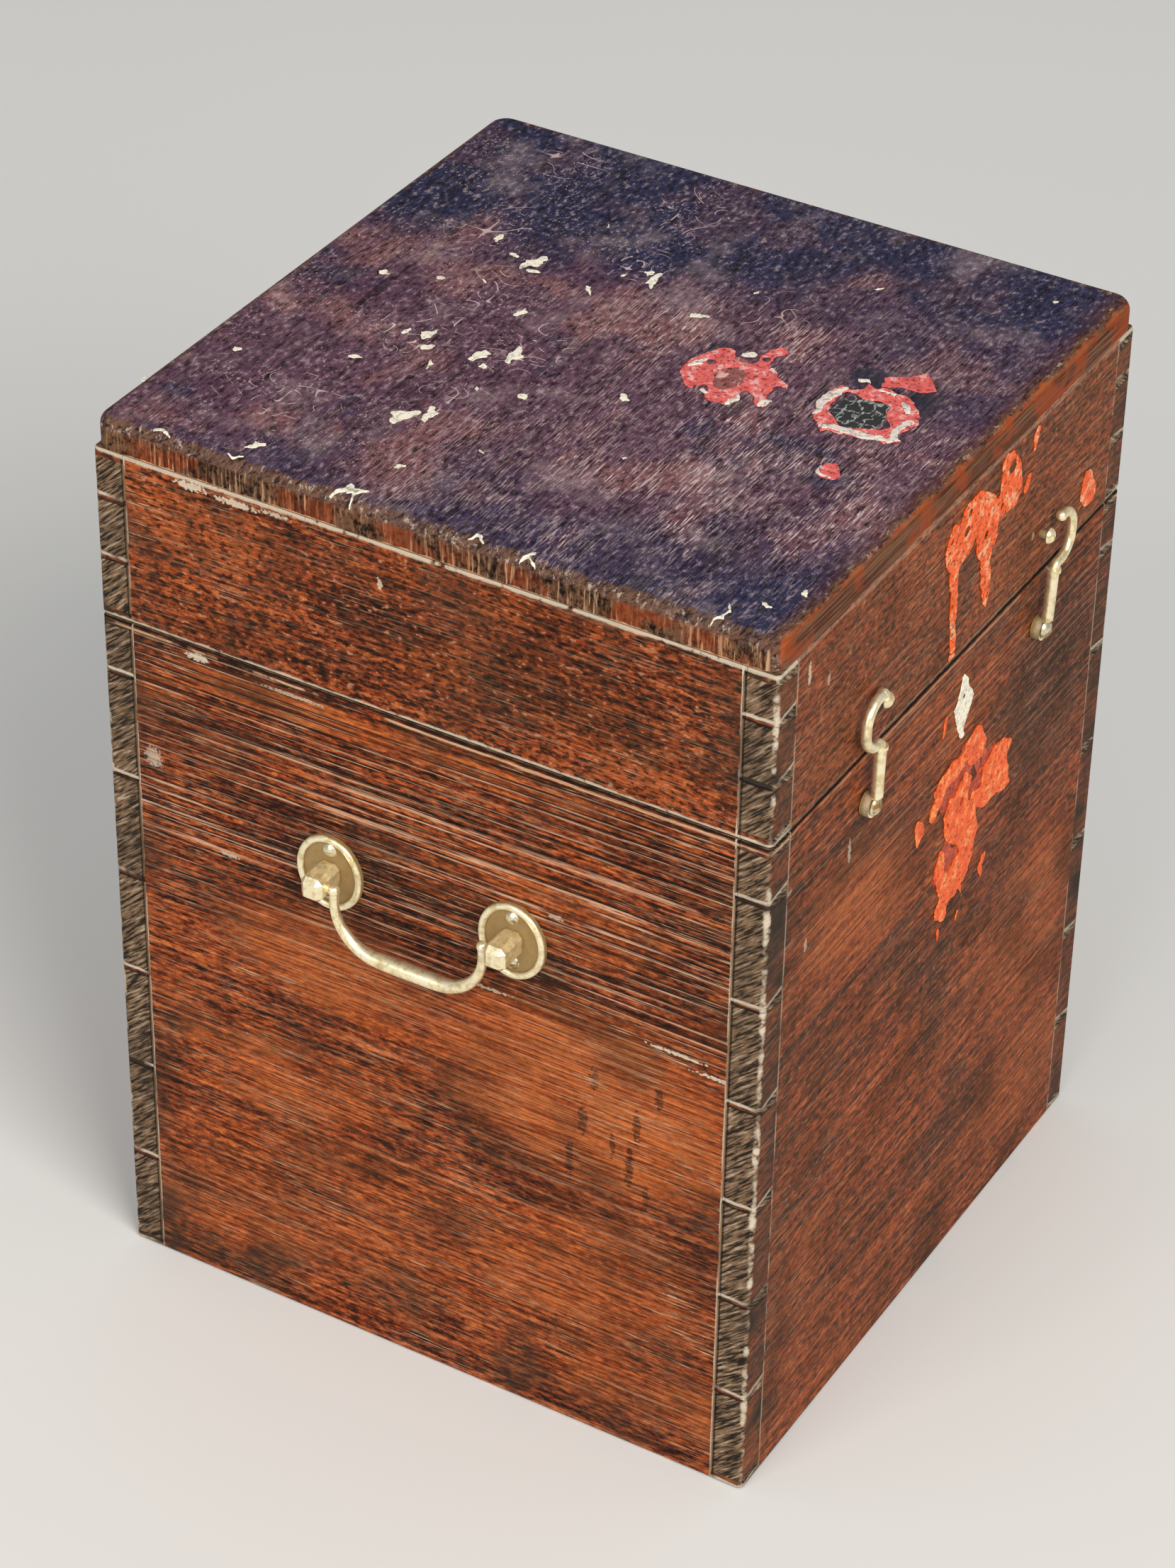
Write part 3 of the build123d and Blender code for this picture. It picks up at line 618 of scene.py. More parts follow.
def top_wood(wood, top):
    """Dark stained top board with a painted sky reflection in blue zones, rubbed streaks, scratches and a
    worn rim.
    """
    finish = Finish("plum_stained_top")
    mix, step = finish.mix, finish.step
    x, y, z = finish.x, finish.y, finish.z
    _, growth, fibres, flecks = grain_of(finish, x, y, z, 0.9, 0.0030, 7.3)
    zone = finish.drawn(x * 13 + 2.2, y * 16, z * 3, detail=5.0, rough=0.62) - 0.5
    # Blue zones at the far side, the front, the near corner and in the middle: navy stain with a painted
    # sky reflection.
    far_side = step(x + zone * 0.20 + y * 0.15, *FAR_BLUE)
    near_side = step(zone * 0.20 - x - y * 0.30, *NEAR_BLUE) * 0.75
    near_corner = step(zone * 0.10 - x - y, *CORNER_BLUE)
    right_front = step(x - y * 0.5 + zone * 0.20, *RIGHT_BLUE)
    middle = step(zone, 0.03, 0.12) * 0.75
    navy_and_sky_sheen = far_side.most(near_side).most(middle).most(near_corner).most(right_front * 0.6) * 0.92
    stain = mix(navy_and_sky_sheen, top.plum_stain, top.navy_stain_and_sheen)
    tone = growth * 0.3 + fibres * 0.4 + flecks * 0.3
    stain = mix(step(tone, 0.52, 0.38) * 0.75, stain, wood.shadow_stain)
    warm = step(finish.cloud(21.0, detail=5.0, rough=0.6), 0.50, 0.62)
    stain = mix(warm * (flecks + 0.1) * (1 - navy_and_sky_sheen * 0.8), stain, top.brown_stain)

    # Fine mottling, dusty patches, rubbed strokes along the grain, and a few hair scratches.
    mottle = finish.drawn(x * 240, y * 420, z * 300, detail=4.0, rough=0.7)
    stain = mix(step(mottle, 0.50, 0.36) * 0.85, stain, wood.shadow_stain)
    stain = mix(step(mottle, 0.54, 0.68) * 0.30, stain, top.rubbed_streak)
    dust = step(finish.cloud(30.0, detail=6.0, rough=0.7), 0.50, 0.70)
    stain = mix(dust * mottle * 0.30, stain, top.rubbed_streak)
    rubbed = step(finish.cloud(21.0, detail=5.0, rough=0.65), 0.42, 0.62)
    forward = step(y + zone * 0.10, *FORWARD)
    rubbed = (rubbed * 0.85 + 0.15) * (1 - far_side * 0.75) * (forward * 0.80 + 0.20)
    rubbed = rubbed * (1 - near_corner * 0.4) * (1 - right_front * 0.60)
    short = finish.drawn(x * 150, y * 1300, z * 300, detail=3.0, rough=0.65)
    long = finish.drawn(x * 44, y * 1400, z * 300, detail=3.0, rough=0.6)
    streaks = (step(short, 0.54, 0.63)).most(step(long, 0.57, 0.65) * 0.7) * rubbed
    stain = mix(streaks * 0.90, stain, top.rubbed_streak)
    specks = finish.drawn(x * 460, y * 620, z * 400, detail=3.0, rough=0.7)
    speckled = step(finish.cloud(47.0, detail=3.0), 0.44, 0.60)
    specks = step(specks, 0.57, 0.67) * speckled * (1 - forward * 0.8)
    stain = mix(specks * 0.55, stain, top.rubbed_streak)
    uneven = (flecks - 0.5) * 0.9
    hairs = hair_scratches(finish, 62.0, 0.0).most(hair_scratches(finish, 90.0, 5.0))
    hairs = hairs * spots(finish, x, y, TOP_HAIRS, uneven, uneven)
    stain = mix(hairs, stain, top.rubbed_streak)

    # The bare scrape inside the paint ring, and dirt round the paint.
    scrape = spots(finish, x, y, TOP_SCRAPE, uneven, uneven)
    nicks = finish.drawn(x, y, 2.0, scale=170.0, detail=1.0)
    nicks = step(abs(nicks - 0.5), 0.045, 0.015) * step(short, 0.42, 0.54)
    stain = mix(scrape, stain, mix(nicks, top.scraped, top.nicks))
    smudged = spots(finish, x, y, TOP_SMUDGES, uneven, uneven)
    stain = mix(smudged * (1 - scrape), stain, top.smudge)

    # Rim: warm and worn at the front, dirty and chipped elsewhere.
    chips, bruises = arris_wear(finish)
    rub = (bruises - 0.5) * 0.010 + (chips - 0.5) * 0.008
    to_side = (HALF_WIDTH - abs(x)).least(HALF_DEPTH - abs(y))
    to_front = y + HALF_DEPTH - (bruises - 0.5) * 0.008 - (mottle - 0.5) * 0.004
    stain = mix(step(to_front, *TOP_FRONT_DIRT) * 0.55, stain, wood.dark_stain)
    front_rim = step(to_front, *TOP_FRONT_RIM)
    rim_tone = mix(step(flecks, 0.38, 0.62), wood.red_stain, top.worn_rim)
    stain = mix(front_rim * (0.45 + bruises * 0.8).least(1), stain, rim_tone)
    rim = step(to_side - rub, *TOP_RIM) * (1 - front_rim)
    rim_tone = mix(step(flecks, 0.36, 0.58), wood.shadow_stain, top.rim_dirt)
    stain = mix(rim * 0.8, stain, rim_tone)
    stain = mix(rim * step(mottle, 0.56, 0.66) * 0.5, stain, wood.worn_edge)

    # Upright edge faces: end grain at the ends, long grain at the front and back.
    upright = step(z, TOP - 0.0030, TOP - 0.0055)
    ends = step(abs(x), HALF_WIDTH - 0.0018, HALF_WIDTH - 0.0006) * upright
    comb = finish.drawn(x * 90, y * 720, z * 60, detail=3.0, rough=0.6)
    combed = step(finish.drawn(y * 16, 0.0, 0.0, detail=2.0), 0.40, 0.58) * 0.5 + 0.2
    sawn = mix(step(mottle, 0.38, 0.58), wood.shadow_stain, top.rim_dirt)
    sawn = mix(step(bruises, 0.47, 0.60) * 0.55, sawn, wood.red_stain)
    sawn = mix(step(comb, 0.54, 0.42) * combed, sawn, wood.shadow_stain)
    sawn = mix(step(comb, 0.56, 0.66) * combed, sawn, wood.pale_fibre)
    stain = mix(ends, stain, sawn)
    below_arris = step(z - (mottle - 0.5) * 0.003, TOP - 0.0014, TOP - 0.0034)
    long_grain = step(abs(y), HALF_DEPTH - 0.0018, HALF_DEPTH - 0.0006) * below_arris
    edge_stain = mix(step(fibres, 0.40, 0.62), wood.dark_stain, top.rim_dirt)
    edge_stain = mix(step(bruises, 0.50, 0.62) * 0.7, edge_stain, wood.red_stain)
    stain = mix(long_grain, stain, edge_stain)
    joint = step(z - rub * 0.3, LID_SHOULDER + 0.0010, LID_SHOULDER + 0.0004)
    joint = joint * step(bruises, 0.36, 0.50) * (1 - long_grain * 0.3)
    stain = mix(joint * 0.85, stain, wood.pale_fibre)

    under = step(z, *(LID_SHOULDER + distance for distance in FACE_EDGE))
    base = mix(under, stain, never_stained(finish, wood, growth, fibres))
    height = growth * 0.2 + fibres * 0.45 + flecks * 0.3 + streaks * 0.4 - hairs * 0.5 + comb * ends * 0.6
    rough = 0.56 - streaks * 0.10 + rim * 0.2 + warm * 0.1
    return finish.shade(
        Base_Color=base,
        Roughness=rough,
        Normal=finish.bump(height, wood.grain_depth * 1.4, 0.7),
        Specular_IOR_Level=0.06,
    )


def bottom_wood(wood):
    """Bare, dirty board under the body."""
    finish = Finish("bare_bottom_board")
    mix, step = finish.mix, finish.step
    _, growth, streaks, flecks = grain_of(finish, finish.x, finish.y, finish.z, 0.6, 0.0055, 3.1)
    tone = growth * 0.6 + streaks * 0.3 + flecks * 0.1
    base = mix(step(tone, 0.38, 0.60), wood.bare_wood, wood.dark_stain)
    dirt = step(finish.cloud(19.0, detail=4.0), 0.42, 0.66)
    base = mix(dirt * 0.55, base, wood.grime)
    return finish.shade(
        Base_Color=base, Roughness=0.66 + dirt * 0.2, Normal=finish.bump(tone, wood.grain_depth, 0.6)
    )


# ---- Brass -----------------------------------------------
# Heights off the wood: brass is tarnished, with painted shade in the hollows, up to the first and rubbed
# bright from the second on.
HANDLE_HEIGHTS = (0.0014, 0.0024)
HOOK_HEIGHTS = (0.0010, 0.0045)
HINGE_HEIGHTS = (-0.0005, 0.0045)


def old_brass(name, brass, off_wood, heights):
    """Tarnished brass: brown in the hollows, tarnish with painted shade, rubbed where it stands proud."""
    finish = Finish(name)
    mix, step = finish.mix, finish.step
    height = off_wood(finish)
    mottle = finish.cloud(320.0, detail=4.0, rough=0.62)
    patches = finish.cloud(95.0, detail=3.0)
    proud = step(height + (mottle - 0.5) * 0.0012, *heights)
    tone = mix(step(mottle, 0.34, 0.56), brass.dull_brass, brass.bright_brass)
    # Brown where the brass is low: tarnish, and painted shade in the hollows.
    tarnished_and_shaded = (1 - proud).most(step(patches, 0.52, 0.70) * 0.45)
    base = mix(tarnished_and_shaded * 0.90, tone, brass.tarnish_and_shade)
    scratch = finish.drawn(finish.x * 2200, finish.y * 500, finish.z * 900, detail=2.0)
    return finish.shade(
        Base_Color=base,
        Metallic=0.80 - tarnished_and_shaded * 0.45,
        Roughness=0.28 + tarnished_and_shaded * 0.32 + mottle * 0.10,
        Normal=finish.bump(mottle * 0.6 + scratch * 0.4, 0.00025, 0.5),
        Specular_IOR_Level=0.5,
    )


def screw_metal(brass):
    """Pale screw heads, dull in places."""
    finish = Finish("screw_heads")
    mottle = finish.cloud(600.0, detail=3.0, rough=0.6)
    patches = finish.cloud(140.0, detail=2.0)
    dull = finish.step(patches + (mottle - 0.5) * 0.5, 0.46, 0.66)
    return finish.shade(
        Base_Color=finish.mix(dull, brass.screw_brass, brass.tarnish_and_shade),
        Metallic=1 - dull * 0.5,
        Roughness=0.32 + dull * 0.3,
        Normal=finish.bump(mottle, 0.0002, 0.5),
    )


# ---- Paint -----------------------------------------------
# Two smooth noises fray the outlines: their layers, their density per millimetre and their reach.
BROAD_LAYERS = (3.0, 9.0)
BROAD_DENSITY = 0.14
BROAD_REACH = 1.6
FINE_LAYERS = (5.0, 7.0)
FINE_DENSITY = 0.42
FINE_REACH = 0.7
RUN_MARGIN = 0.2
OUTLINE_MARGIN = 3.0
# A fleck's place turns and stretches it, by two more layers of noise.
TURN_LAYER = 1.0
TURN_DENSITY = 0.37
TURN_REACH = 6.0
STRETCH_LAYER = 4.0
STRETCH_DENSITY = 0.53
STRETCH_REACH = 0.6
STRETCH_MIDDLE = 0.56


def dried_paint(name, fresh, faded_and_lit, dirt, worn):
    """Thick old paint: paler on the tops of its lumps, which is fading and a painted highlight, darker in
    their low parts, and dirty in places.
    """
    finish = Finish(name)
    mix, step = finish.mix, finish.step
    lumps = finish.cloud(230.0, detail=4.0, rough=0.65)
    thin = step(finish.cloud(520.0, detail=3.0, rough=0.65), 0.54, 0.68)
    deep = tuple(c * 0.6 for c in fresh)
    # Paler tops of the lumps: fading paint and a painted highlight.
    base = mix(step(lumps, 0.52, 0.62) * 0.85, fresh, faded_and_lit)
    base = mix(step(lumps, 0.46, 0.36) * 0.7, base, deep)
    base = mix(thin * worn, base, dirt)
    return finish.shade(
        Base_Color=base,
        Roughness=0.34 + thin * 0.3,
        Normal=finish.bump(lumps - thin * 0.4, 0.0012, 0.8),
        Specular_IOR_Level=0.13,
    )


def inside_outline(point, corners):
    """Whether a point is inside a closed outline."""
    crossings = 0
    for (x0, y0), (x1, y1) in zip(corners, corners[1:] + corners[:1]):
        if (y0 > point[1]) != (y1 > point[1]):
            crossings += point[0] < x0 + (x1 - x0) * (point[1] - y0) / (y1 - y0)
    return crossings % 2 == 1


def run_reach(point, run):
    """How far a point is outside a run of paint: a line with a radius at each end."""
    (x0, y0, r0), (x1, y1, r1) = run
    _, share_along = geometry.intersect_point_line((*point, 0), (x0, y0, 0), (x1, y1, 0))
    share_along = min(max(share_along, 0), 1)
    centre = Vector((x0 + (x1 - x0) * share_along, y0 + (y1 - y0) * share_along))
    return (Vector(point) - centre).length - (r0 + (r1 - r0) * share_along)


def shift_by_noise(point, layers, density):
    """A shift in both directions, from two layers of a smooth noise."""
    return Vector([noise.noise(Vector((*point, layer)) * density) for layer in layers])


def covered(point, shape):
    """Whether paint covers a point, in millimetres on the face."""
    ragged = shape["ragged"]
    broad = shift_by_noise(point, BROAD_LAYERS, BROAD_DENSITY)
    fine = shift_by_noise(point, FINE_LAYERS, FINE_DENSITY)
    point = Vector(point) + broad * ragged * BROAD_REACH + fine * ragged * FINE_REACH
    for hole in shape.get("holes", ()):
        if (point - Vector(hole[:2])).length < hole[2]:
            return False
    if any(inside_outline(point, outline) for outline in shape.get("gaps", ())):
        return False
    if any(inside_outline(point, outline) for outline in shape.get("outlines", ())):
        return True
    return any(run_reach(point, run) < RUN_MARGIN for run in shape.get("runs", ()))


def chain(*points):
    """Runs of paint through points (x, y, radius)."""
    return list(zip(points, points[1:]))


def fleck_runs(x, y, size):
    """Runs of a small bent fleck with three arms, turned and stretched by its place."""
    turn_place = Vector((x * TURN_DENSITY, y * TURN_DENSITY, TURN_LAYER))
    stretch_place = Vector((x * STRETCH_DENSITY, y * STRETCH_DENSITY, STRETCH_LAYER))
    swing = noise.noise(turn_place) * TURN_REACH
    stretch = STRETCH_MIDDLE + noise.noise(stretch_place) * STRETCH_REACH
    lean = Vector((math.cos(swing), math.sin(swing))) * size * stretch
    bend = Vector((-lean.y, lean.x)) * 0.6
    runs = chain((x - lean.x, y - lean.y, size * 0.18), (x, y, size * 0.34))
    runs += chain((x, y, size * 0.26), (x + lean.x, y + lean.y, size * 0.20))
    tip = (x - lean.x * 0.3 + bend.x, y - lean.y * 0.3 + bend.y, size * 0.12)
    return runs + chain((x, y, size * 0.24), tip)


def select_faces(piece, chosen):
    """Edit mode with only the chosen faces selected."""
    bpy.ops.object.mode_set(mode="EDIT")
    bpy.ops.mesh.select_mode(type="FACE")
    bpy.ops.mesh.select_all(action="DESELECT")
    bpy.ops.object.mode_set(mode="OBJECT")
    for face in piece.data.polygons:
        face.select = chosen(face)
    bpy.ops.object.mode_set(mode="EDIT")


def shape_limits(shape):
    """Limits of a shape of paint with some room round it, in millimetres."""
    points = [p for outline in shape.get("outlines", ()) for p in outline]
    for run in shape.get("runs", ()):
        for x, y, r in run:
            points += [(x - r, y - r), (x + r, y + r)]
    xs = [p[0] for p in points]
    ys = [p[1] for p in points]
    room = OUTLINE_MARGIN
    return min(xs) - room, max(xs) + room, min(ys) - room, max(ys) + room


def paint_skin(name, shape, turn, level, material, paint, onto=None, thickness=1.0, cell=1.0):
    """A skin of dried paint: a grid trimmed to the shape, laid on, thickened and rounded."""
    low_u, high_u, low_v, high_v = shape_limits(shape)
    cell_mm = paint.skin_cell / MM * cell
    middle = ((low_u + high_u) / 2 * MM, (low_v + high_v) / 2 * MM)
    upright = turn == FRONT
    location = (middle[0], level, middle[1]) if upright else (middle[0], middle[1], level)
    bpy.ops.mesh.primitive_grid_add(
        x_subdivisions=round((high_u - low_u) / cell_mm),
        y_subdivisions=round((high_v - low_v) / cell_mm),
        size=1,
        location=location,
        rotation=turn,
    )
    piece = bpy.context.object
    piece.name = name
    piece.scale = ((high_u - low_u) * MM, (high_v - low_v) * MM, 1)
    bpy.ops.object.transform_apply()

    def bare(face):
        u, v = face.center.x / MM, (face.center.z if upright else face.center.y) / MM
        return not covered((u, v), shape)

    select_faces(piece, bare)
    bpy.ops.mesh.delete(type="FACE")
    bpy.ops.mesh.select_all(action="SELECT")
    bpy.ops.mesh.vertices_smooth(factor=0.5, repeat=paint.smoothing)
    bpy.ops.object.mode_set(mode="OBJECT")
    if not piece.data.polygons:
        raise RuntimeError(f"{name} has no paint left: its cells are too large")
    if onto:
        wrap = piece.modifiers.new("Wrap", "SHRINKWRAP")
        wrap.wrap_method = "PROJECT"
        wrap.use_project_z = True
        wrap.use_negative_direction = True
        wrap.target = NODES[onto]
        bpy.ops.object.modifier_apply(modifier=wrap.name)
    wall = piece.modifiers.new("Thickness", "SOLIDIFY")
    wall.thickness = paint.skin_thickness * thickness
    wall.offset = 1
    bpy.ops.object.modifier_apply(modifier=wall.name)
    round_off = piece.modifiers.new("Round", "SUBSURF")
    bpy.ops.object.modifier_apply(modifier=round_off.name)
    bpy.ops.object.shade_smooth()
    piece.data.materials.append(material)
    return piece


def join(pieces, name):
    """One piece from several."""
    bpy.ops.object.select_all(action="DESELECT")
    for piece in pieces:
        piece.select_set(True)
    bpy.context.view_layer.objects.active = pieces[0]
    bpy.ops.object.join()
    joined = bpy.context.object
    joined.name = name
    return joined


def finish_of(name):
    material = bpy.data.materials.get(name)
    if material is None:
        raise RuntimeError(f"the finish {name} hasn't been made")
    return material


def dress(material, *names):
    """Gives CAD nodes a finish."""
    for name in names:
        for place in NODES[name].material_slots:
            place.material = material


def without_screws(start):
    """The CAD nodes of a kind of fitting, but for its screws."""
    return [name for name in NODES if name.startswith(start) and not name.endswith("_screws")]


# ---- Operators -------------------------------------------
class SPICEBOX_OT_body_boards(bpy.types.Operator):
    """Finish the four boards of the body"""

    bl_idname = "spicebox.body_boards"
    bl_label = "Body boards"

    def execute(self, context):
        wood = context.scene.spicebox_wood
        reach = (0, SEAM, BODY_PIN_PITCH)
        ends = board_wood("body_end_boards", wood, "body_end", "xzy", *reach, BODY_END_SPOTS)
        sides = board_wood("body_side_boards", wood, "body_side", "yzx", *reach, BODY_SIDE_SPOTS)
        dress(ends, "body_front", "body_back")
        dress(sides, "body_left", "body_right")
        return {"FINISHED"}


class SPICEBOX_OT_lid_boards(bpy.types.Operator):
    """Finish the four boards of the lid"""

    bl_idname = "spicebox.lid_boards"
    bl_label = "Lid boards"

    def execute(self, context):
        wood = context.scene.spicebox_wood
        reach = (LID_FOOT, LID_SHOULDER, LID_PIN_PITCH)
        ends = board_wood("lid_end_boards", wood, "lid_end", "xzy", *reach, LID_END_SPOTS)
        sides = board_wood("lid_side_boards", wood, "lid_side", "yzx", *reach, LID_SIDE_SPOTS)
        dress(ends, "lid_front", "lid_back")
        dress(sides, "lid_left", "lid_right")
        return {"FINISHED"}


class SPICEBOX_OT_top_board(bpy.types.Operator):
    """Finish the top board of the lid"""

    bl_idname = "spicebox.top_board"
    bl_label = "Top board"

    def execute(self, context):
        scene = context.scene
        dress(top_wood(scene.spicebox_wood, scene.spicebox_top), "lid_top")
        return {"FINISHED"}


class SPICEBOX_OT_bottom_board(bpy.types.Operator):
    """Finish the bottom board"""

    bl_idname = "spicebox.bottom_board"
    bl_label = "Bottom board"

    def execute(self, context):
        dress(bottom_wood(context.scene.spicebox_wood), "body_bottom")
        return {"FINISHED"}


class SPICEBOX_OT_handles(bpy.types.Operator):
    """Finish the two drop handles"""

    bl_idname = "spicebox.handles"
    bl_label = "Drop handles"

    def execute(self, context):
        brass = context.scene.spicebox_brass
        metal = old_brass("handle_brass", brass, lambda f: abs(f.x) - HALF_WIDTH, HANDLE_HEIGHTS)
        dress(metal, *without_screws("handle_"))
        return {"FINISHED"}


class SPICEBOX_OT_hooks(bpy.types.Operator):
    """Finish the two swivel hooks and their studs"""

    bl_idname = "spicebox.hooks"
    bl_label = "Swivel hooks"

    def execute(self, context):
        brass = context.scene.spicebox_brass
        metal = old_brass("hook_brass", brass, lambda f: -HALF_DEPTH - f.y, HOOK_HEIGHTS)
        dress(metal, "hook_left", "hook_right", "hook_left_stud", "hook_right_stud")
        return {"FINISHED"}


class SPICEBOX_OT_hinges(bpy.types.Operator):
    """Finish the two butt hinges"""

    bl_idname = "spicebox.hinges"
    bl_label = "Butt hinges"

    def execute(self, context):
        brass = context.scene.spicebox_brass
        metal = old_brass("hinge_brass_finish", brass, lambda f: f.y - HALF_DEPTH, HINGE_HEIGHTS)
        dress(metal, *without_screws("hinge_"))
        return {"FINISHED"}


class SPICEBOX_OT_screws(bpy.types.Operator):
    """Finish the screws of handles, hooks and hinges"""

    bl_idname = "spicebox.screws"
    bl_label = "Screws"

    def execute(self, context):
        metal = screw_metal(context.scene.spicebox_brass)
        dress(metal, *[name for name in NODES if name.endswith(("_screws", "_screw"))])
        return {"FINISHED"}


# Outlines of the dried paint, in millimetres on the face that carries it.
LID_RUNS = {
    "outlines": [[
        (-8, 333), (-8, 344), (-10, 359), (-12, 371), (-15, 380), (-18, 388), (-16, 393), (-13, 398),
        (-10, 399), (-5, 397), (-4, 401), (1, 404), (9, 403), (20, 399), (30, 391), (30, 399),
        (30, 406), (35, 408), (41, 407), (47, 400), (50, 390), (51, 382), (47, 378), (42, 377),
        (36, 379), (31, 379), (30, 376), (31, 372), (27, 368), (25, 364), (26, 356), (27, 347),
        (24, 339), (20, 346), (17, 355), (17, 361), (16, 367), (11, 373), (9, 381), (5, 378), (1, 376),
        (-3, 376), (-4, 369), (-3, 358), (-3, 348), (-2, 338), (-2, 332),
    ]],
    "holes": [
        (40, 399, 2.6), (3, 397, 1.8), (1, 389, 2.0), (19, 378, 1.4), (-12, 391, 1.2), (32, 385, 1.2),
    ],
    "ragged": 0.9,
}
LID_SPOTS = {
    "outlines": [[
        (114, 358), (119, 357), (123, 352), (127, 346), (125, 339), (119, 338), (114, 341), (110, 345),
        (110, 352),
    ]],
    "runs": chain((57, 386, 2.2), (55, 381, 2.6))
    + chain((62, 405, 1.9), (61, 401, 2.6), (60, 397, 1.8)),
    "ragged": 0.8,
}
BODY_PATCH = {
    "outlines": [
        [
            (4, 260), (9, 258), (11, 260), (12, 264), (18, 266), (24, 258), (22, 252), (22, 248),
            (29, 240), (34, 229), (31, 222), (30, 214), (26, 208), (21, 204), (15, 203), (9, 203),
            (9, 198), (6, 196), (-5, 201), (-3, 207), (0, 210), (-5, 221), (-8, 229), (-4, 234),
            (-2, 238), (2, 234), (4, 221), (6, 221), (12, 223), (17, 225), (15, 228), (7, 234),
            (2, 238), (0, 246), (-1, 253),
        ],
        [(26, 284), (30, 279), (36, 270), (31, 264), (22, 264), (15, 273), (14, 279), (20, 282)],
        [
            (55, 261), (62, 255), (59, 249), (61, 242), (59, 237), (62, 233), (57, 231), (51, 234),
            (42, 234), (35, 235), (25, 242), (24, 250), (33, 248), (32, 256), (38, 259), (47, 262),
        ],
        [
            (14, 276), (16, 269), (7, 266), (0, 266), (-2, 262), (-7, 261), (-9, 258), (-11, 255),
            (-15, 258), (-15, 264), (-11, 267), (-12, 272), (-5, 276), (4, 278),
        ],
    ],
    "holes": [(15, 251, 1.5), (4, 246, 1.0)],
    "ragged": 1.0,
}
BODY_FILM = {
    "outlines": [
        [
            (-8, 263), (3, 274), (14, 279), (24, 278), (34, 268), (48, 260), (58, 252), (56, 236),
            (36, 236), (20, 246), (4, 250),
        ],
        [(-7, 222), (-2, 236), (10, 240), (20, 230), (24, 212), (14, 206), (2, 212)],
    ],
    "holes": [(12, 233, 3.0), (25, 258, 2.5), (40, 246, 2.0)],
    "ragged": 2.6,
}
BODY_SPOTS = {
    "outlines": [[(-25, 266), (-19, 262), (-19, 255), (-25, 251), (-28, 257), (-28, 264)]],
    "runs": chain((42, 207, 2.2), (39, 202, 2.6), (41, 198, 1.4))
    + chain((20, 204, 1.6), (21, 201, 1.0)) + chain((19, 192, 1.4), (18, 188, 1.0))
    + chain((2, 193, 1.6), (2, 188, 1.1)) + chain((-5, 304, 1.5), (-7, 296, 1.3)),
    "ragged": 0.7,
}
WHITE_BLOT = {
    "outlines": [[
        (10, 319), (13, 315), (14, 310), (18, 305), (20, 302), (18, 298), (16, 294), (13, 290),
        (15, 285), (10, 284), (6, 290), (3, 298), (1, 304), (4, 305), (5, 308), (6, 313), (7, 318),
    ]],
    "holes": [(10.5, 306, 0.9)],
    "ragged": 0.7,
}
TOP_PATCH = {
    "outlines": [[
        (3, -23), (9, -24), (15, -25), (21, -28), (26, -32), (23, -37), (18, -41), (19, -46), (21, -47),
        (27, -46), (31, -46), (36, -49), (35, -54), (32, -55), (30, -52), (26, -53), (20, -54),
        (19, -58), (14, -62), (13, -67), (9, -69), (8, -63), (2, -64), (-1, -66), (-5, -68), (-9, -66),
        (-8, -62), (-4, -60), (-2, -56), (-1, -54), (-6, -54), (-12, -54), (-16, -51), (-16, -47),
        (-14, -43), (-9, -41), (-5, -39), (-7, -37), (-10, -34), (-9, -30), (-4, -26),
    ]],
    "gaps": [[(-5, -46), (3, -50), (11, -48), (13, -42), (6, -38), (-1, -41)]],
    "holes": [(23, -44, 1.6), (-9, -40, 2.0), (12, -32, 1.4), (25, -50, 1.4)],
    "ragged": 1.2,
}
TOP_FILM = {
    "outlines": [[(-10, -50), (2, -56), (16, -54), (22, -40), (14, -33), (-2, -34)]],
    "ragged": 1.6,
}
TOP_RING = {
    "outlines": [[
        (-2, -85), (2, -83), (7, -82), (11, -83), (16, -83), (23, -83), (23, -87), (22, -89), (25, -93),
        (30, -92), (30, -95), (28, -98), (31, -100), (30, -105), (29, -111), (24, -117), (18, -122),
        (13, -124), (9, -123), (4, -123), (3, -121), (-4, -125), (-9, -119), (-6, -115), (-8, -111),
        (-11, -106), (-11, -102), (-11, -97), (-14, -95), (-10, -91),
    ]],
    "gaps": [[
        (3, -90), (10, -89), (17, -88), (20, -90), (19, -97), (20, -103), (17, -109), (9, -111),
        (4, -116), (1, -114), (0, -110), (-4, -105), (-5, -101), (-3, -97),
    ]],
    "ragged": 1.0,
}
RING_CRUST = {
    "runs": chain((-1, -86, 1.6), (5, -85, 2.4), (11, -85, 2.0), (16, -86, 2.5), (21, -87, 1.6))
    + chain((29, -89, 1.4), (31, -92, 1.2))
    + chain((-10, -93, 1.8), (-7, -98, 2.2), (-8, -105, 2.5), (-6, -111, 2.0), (-5, -116, 2.4))
    + chain((-6, -120, 2.0), (-3, -122, 2.2), (3, -120, 1.4), (8, -120, 2.0), (12, -121, 1.4))
    + chain((17, -118, 0.9), (21, -115, 1.4), (23, -111, 0.9)) + chain((27, -101, 0.8), (28, -106, 1.1))
    + chain((23, -41, 1.6), (25, -44, 1.8)) + chain((-10, -40, 1.9), (-11, -42, 1.3))
    + chain((-14, -52, 1.3), (-9, -54, 1.5), (-6, -54, 1.0)) + chain((-7, -65, 1.5), (-3, -67, 1.2))
    + chain((4, -26, 1.0), (8, -28, 1.6), (12, -30, 1.0)) + chain((16, -59, 0.8), (18, -56, 1.4))
    + chain((-41, -113, 1.0), (-40, -108, 1.0), (-34, -106, 0.7)),
    "ragged": 1.2,
}
TOP_TAIL = {
    "outlines": [[
        (31, -98), (38, -96), (41, -100), (43, -105), (49, -107), (49, -110), (43, -116), (39, -120),
        (35, -116), (33, -110), (33, -106), (31, -102),
    ]],
    "ragged": 1.0,
}
TOP_SPOT = {
    "runs": chain((-36, -110, 4.6), (-38, -112, 4.6)),
    "ragged": 1.4,
}
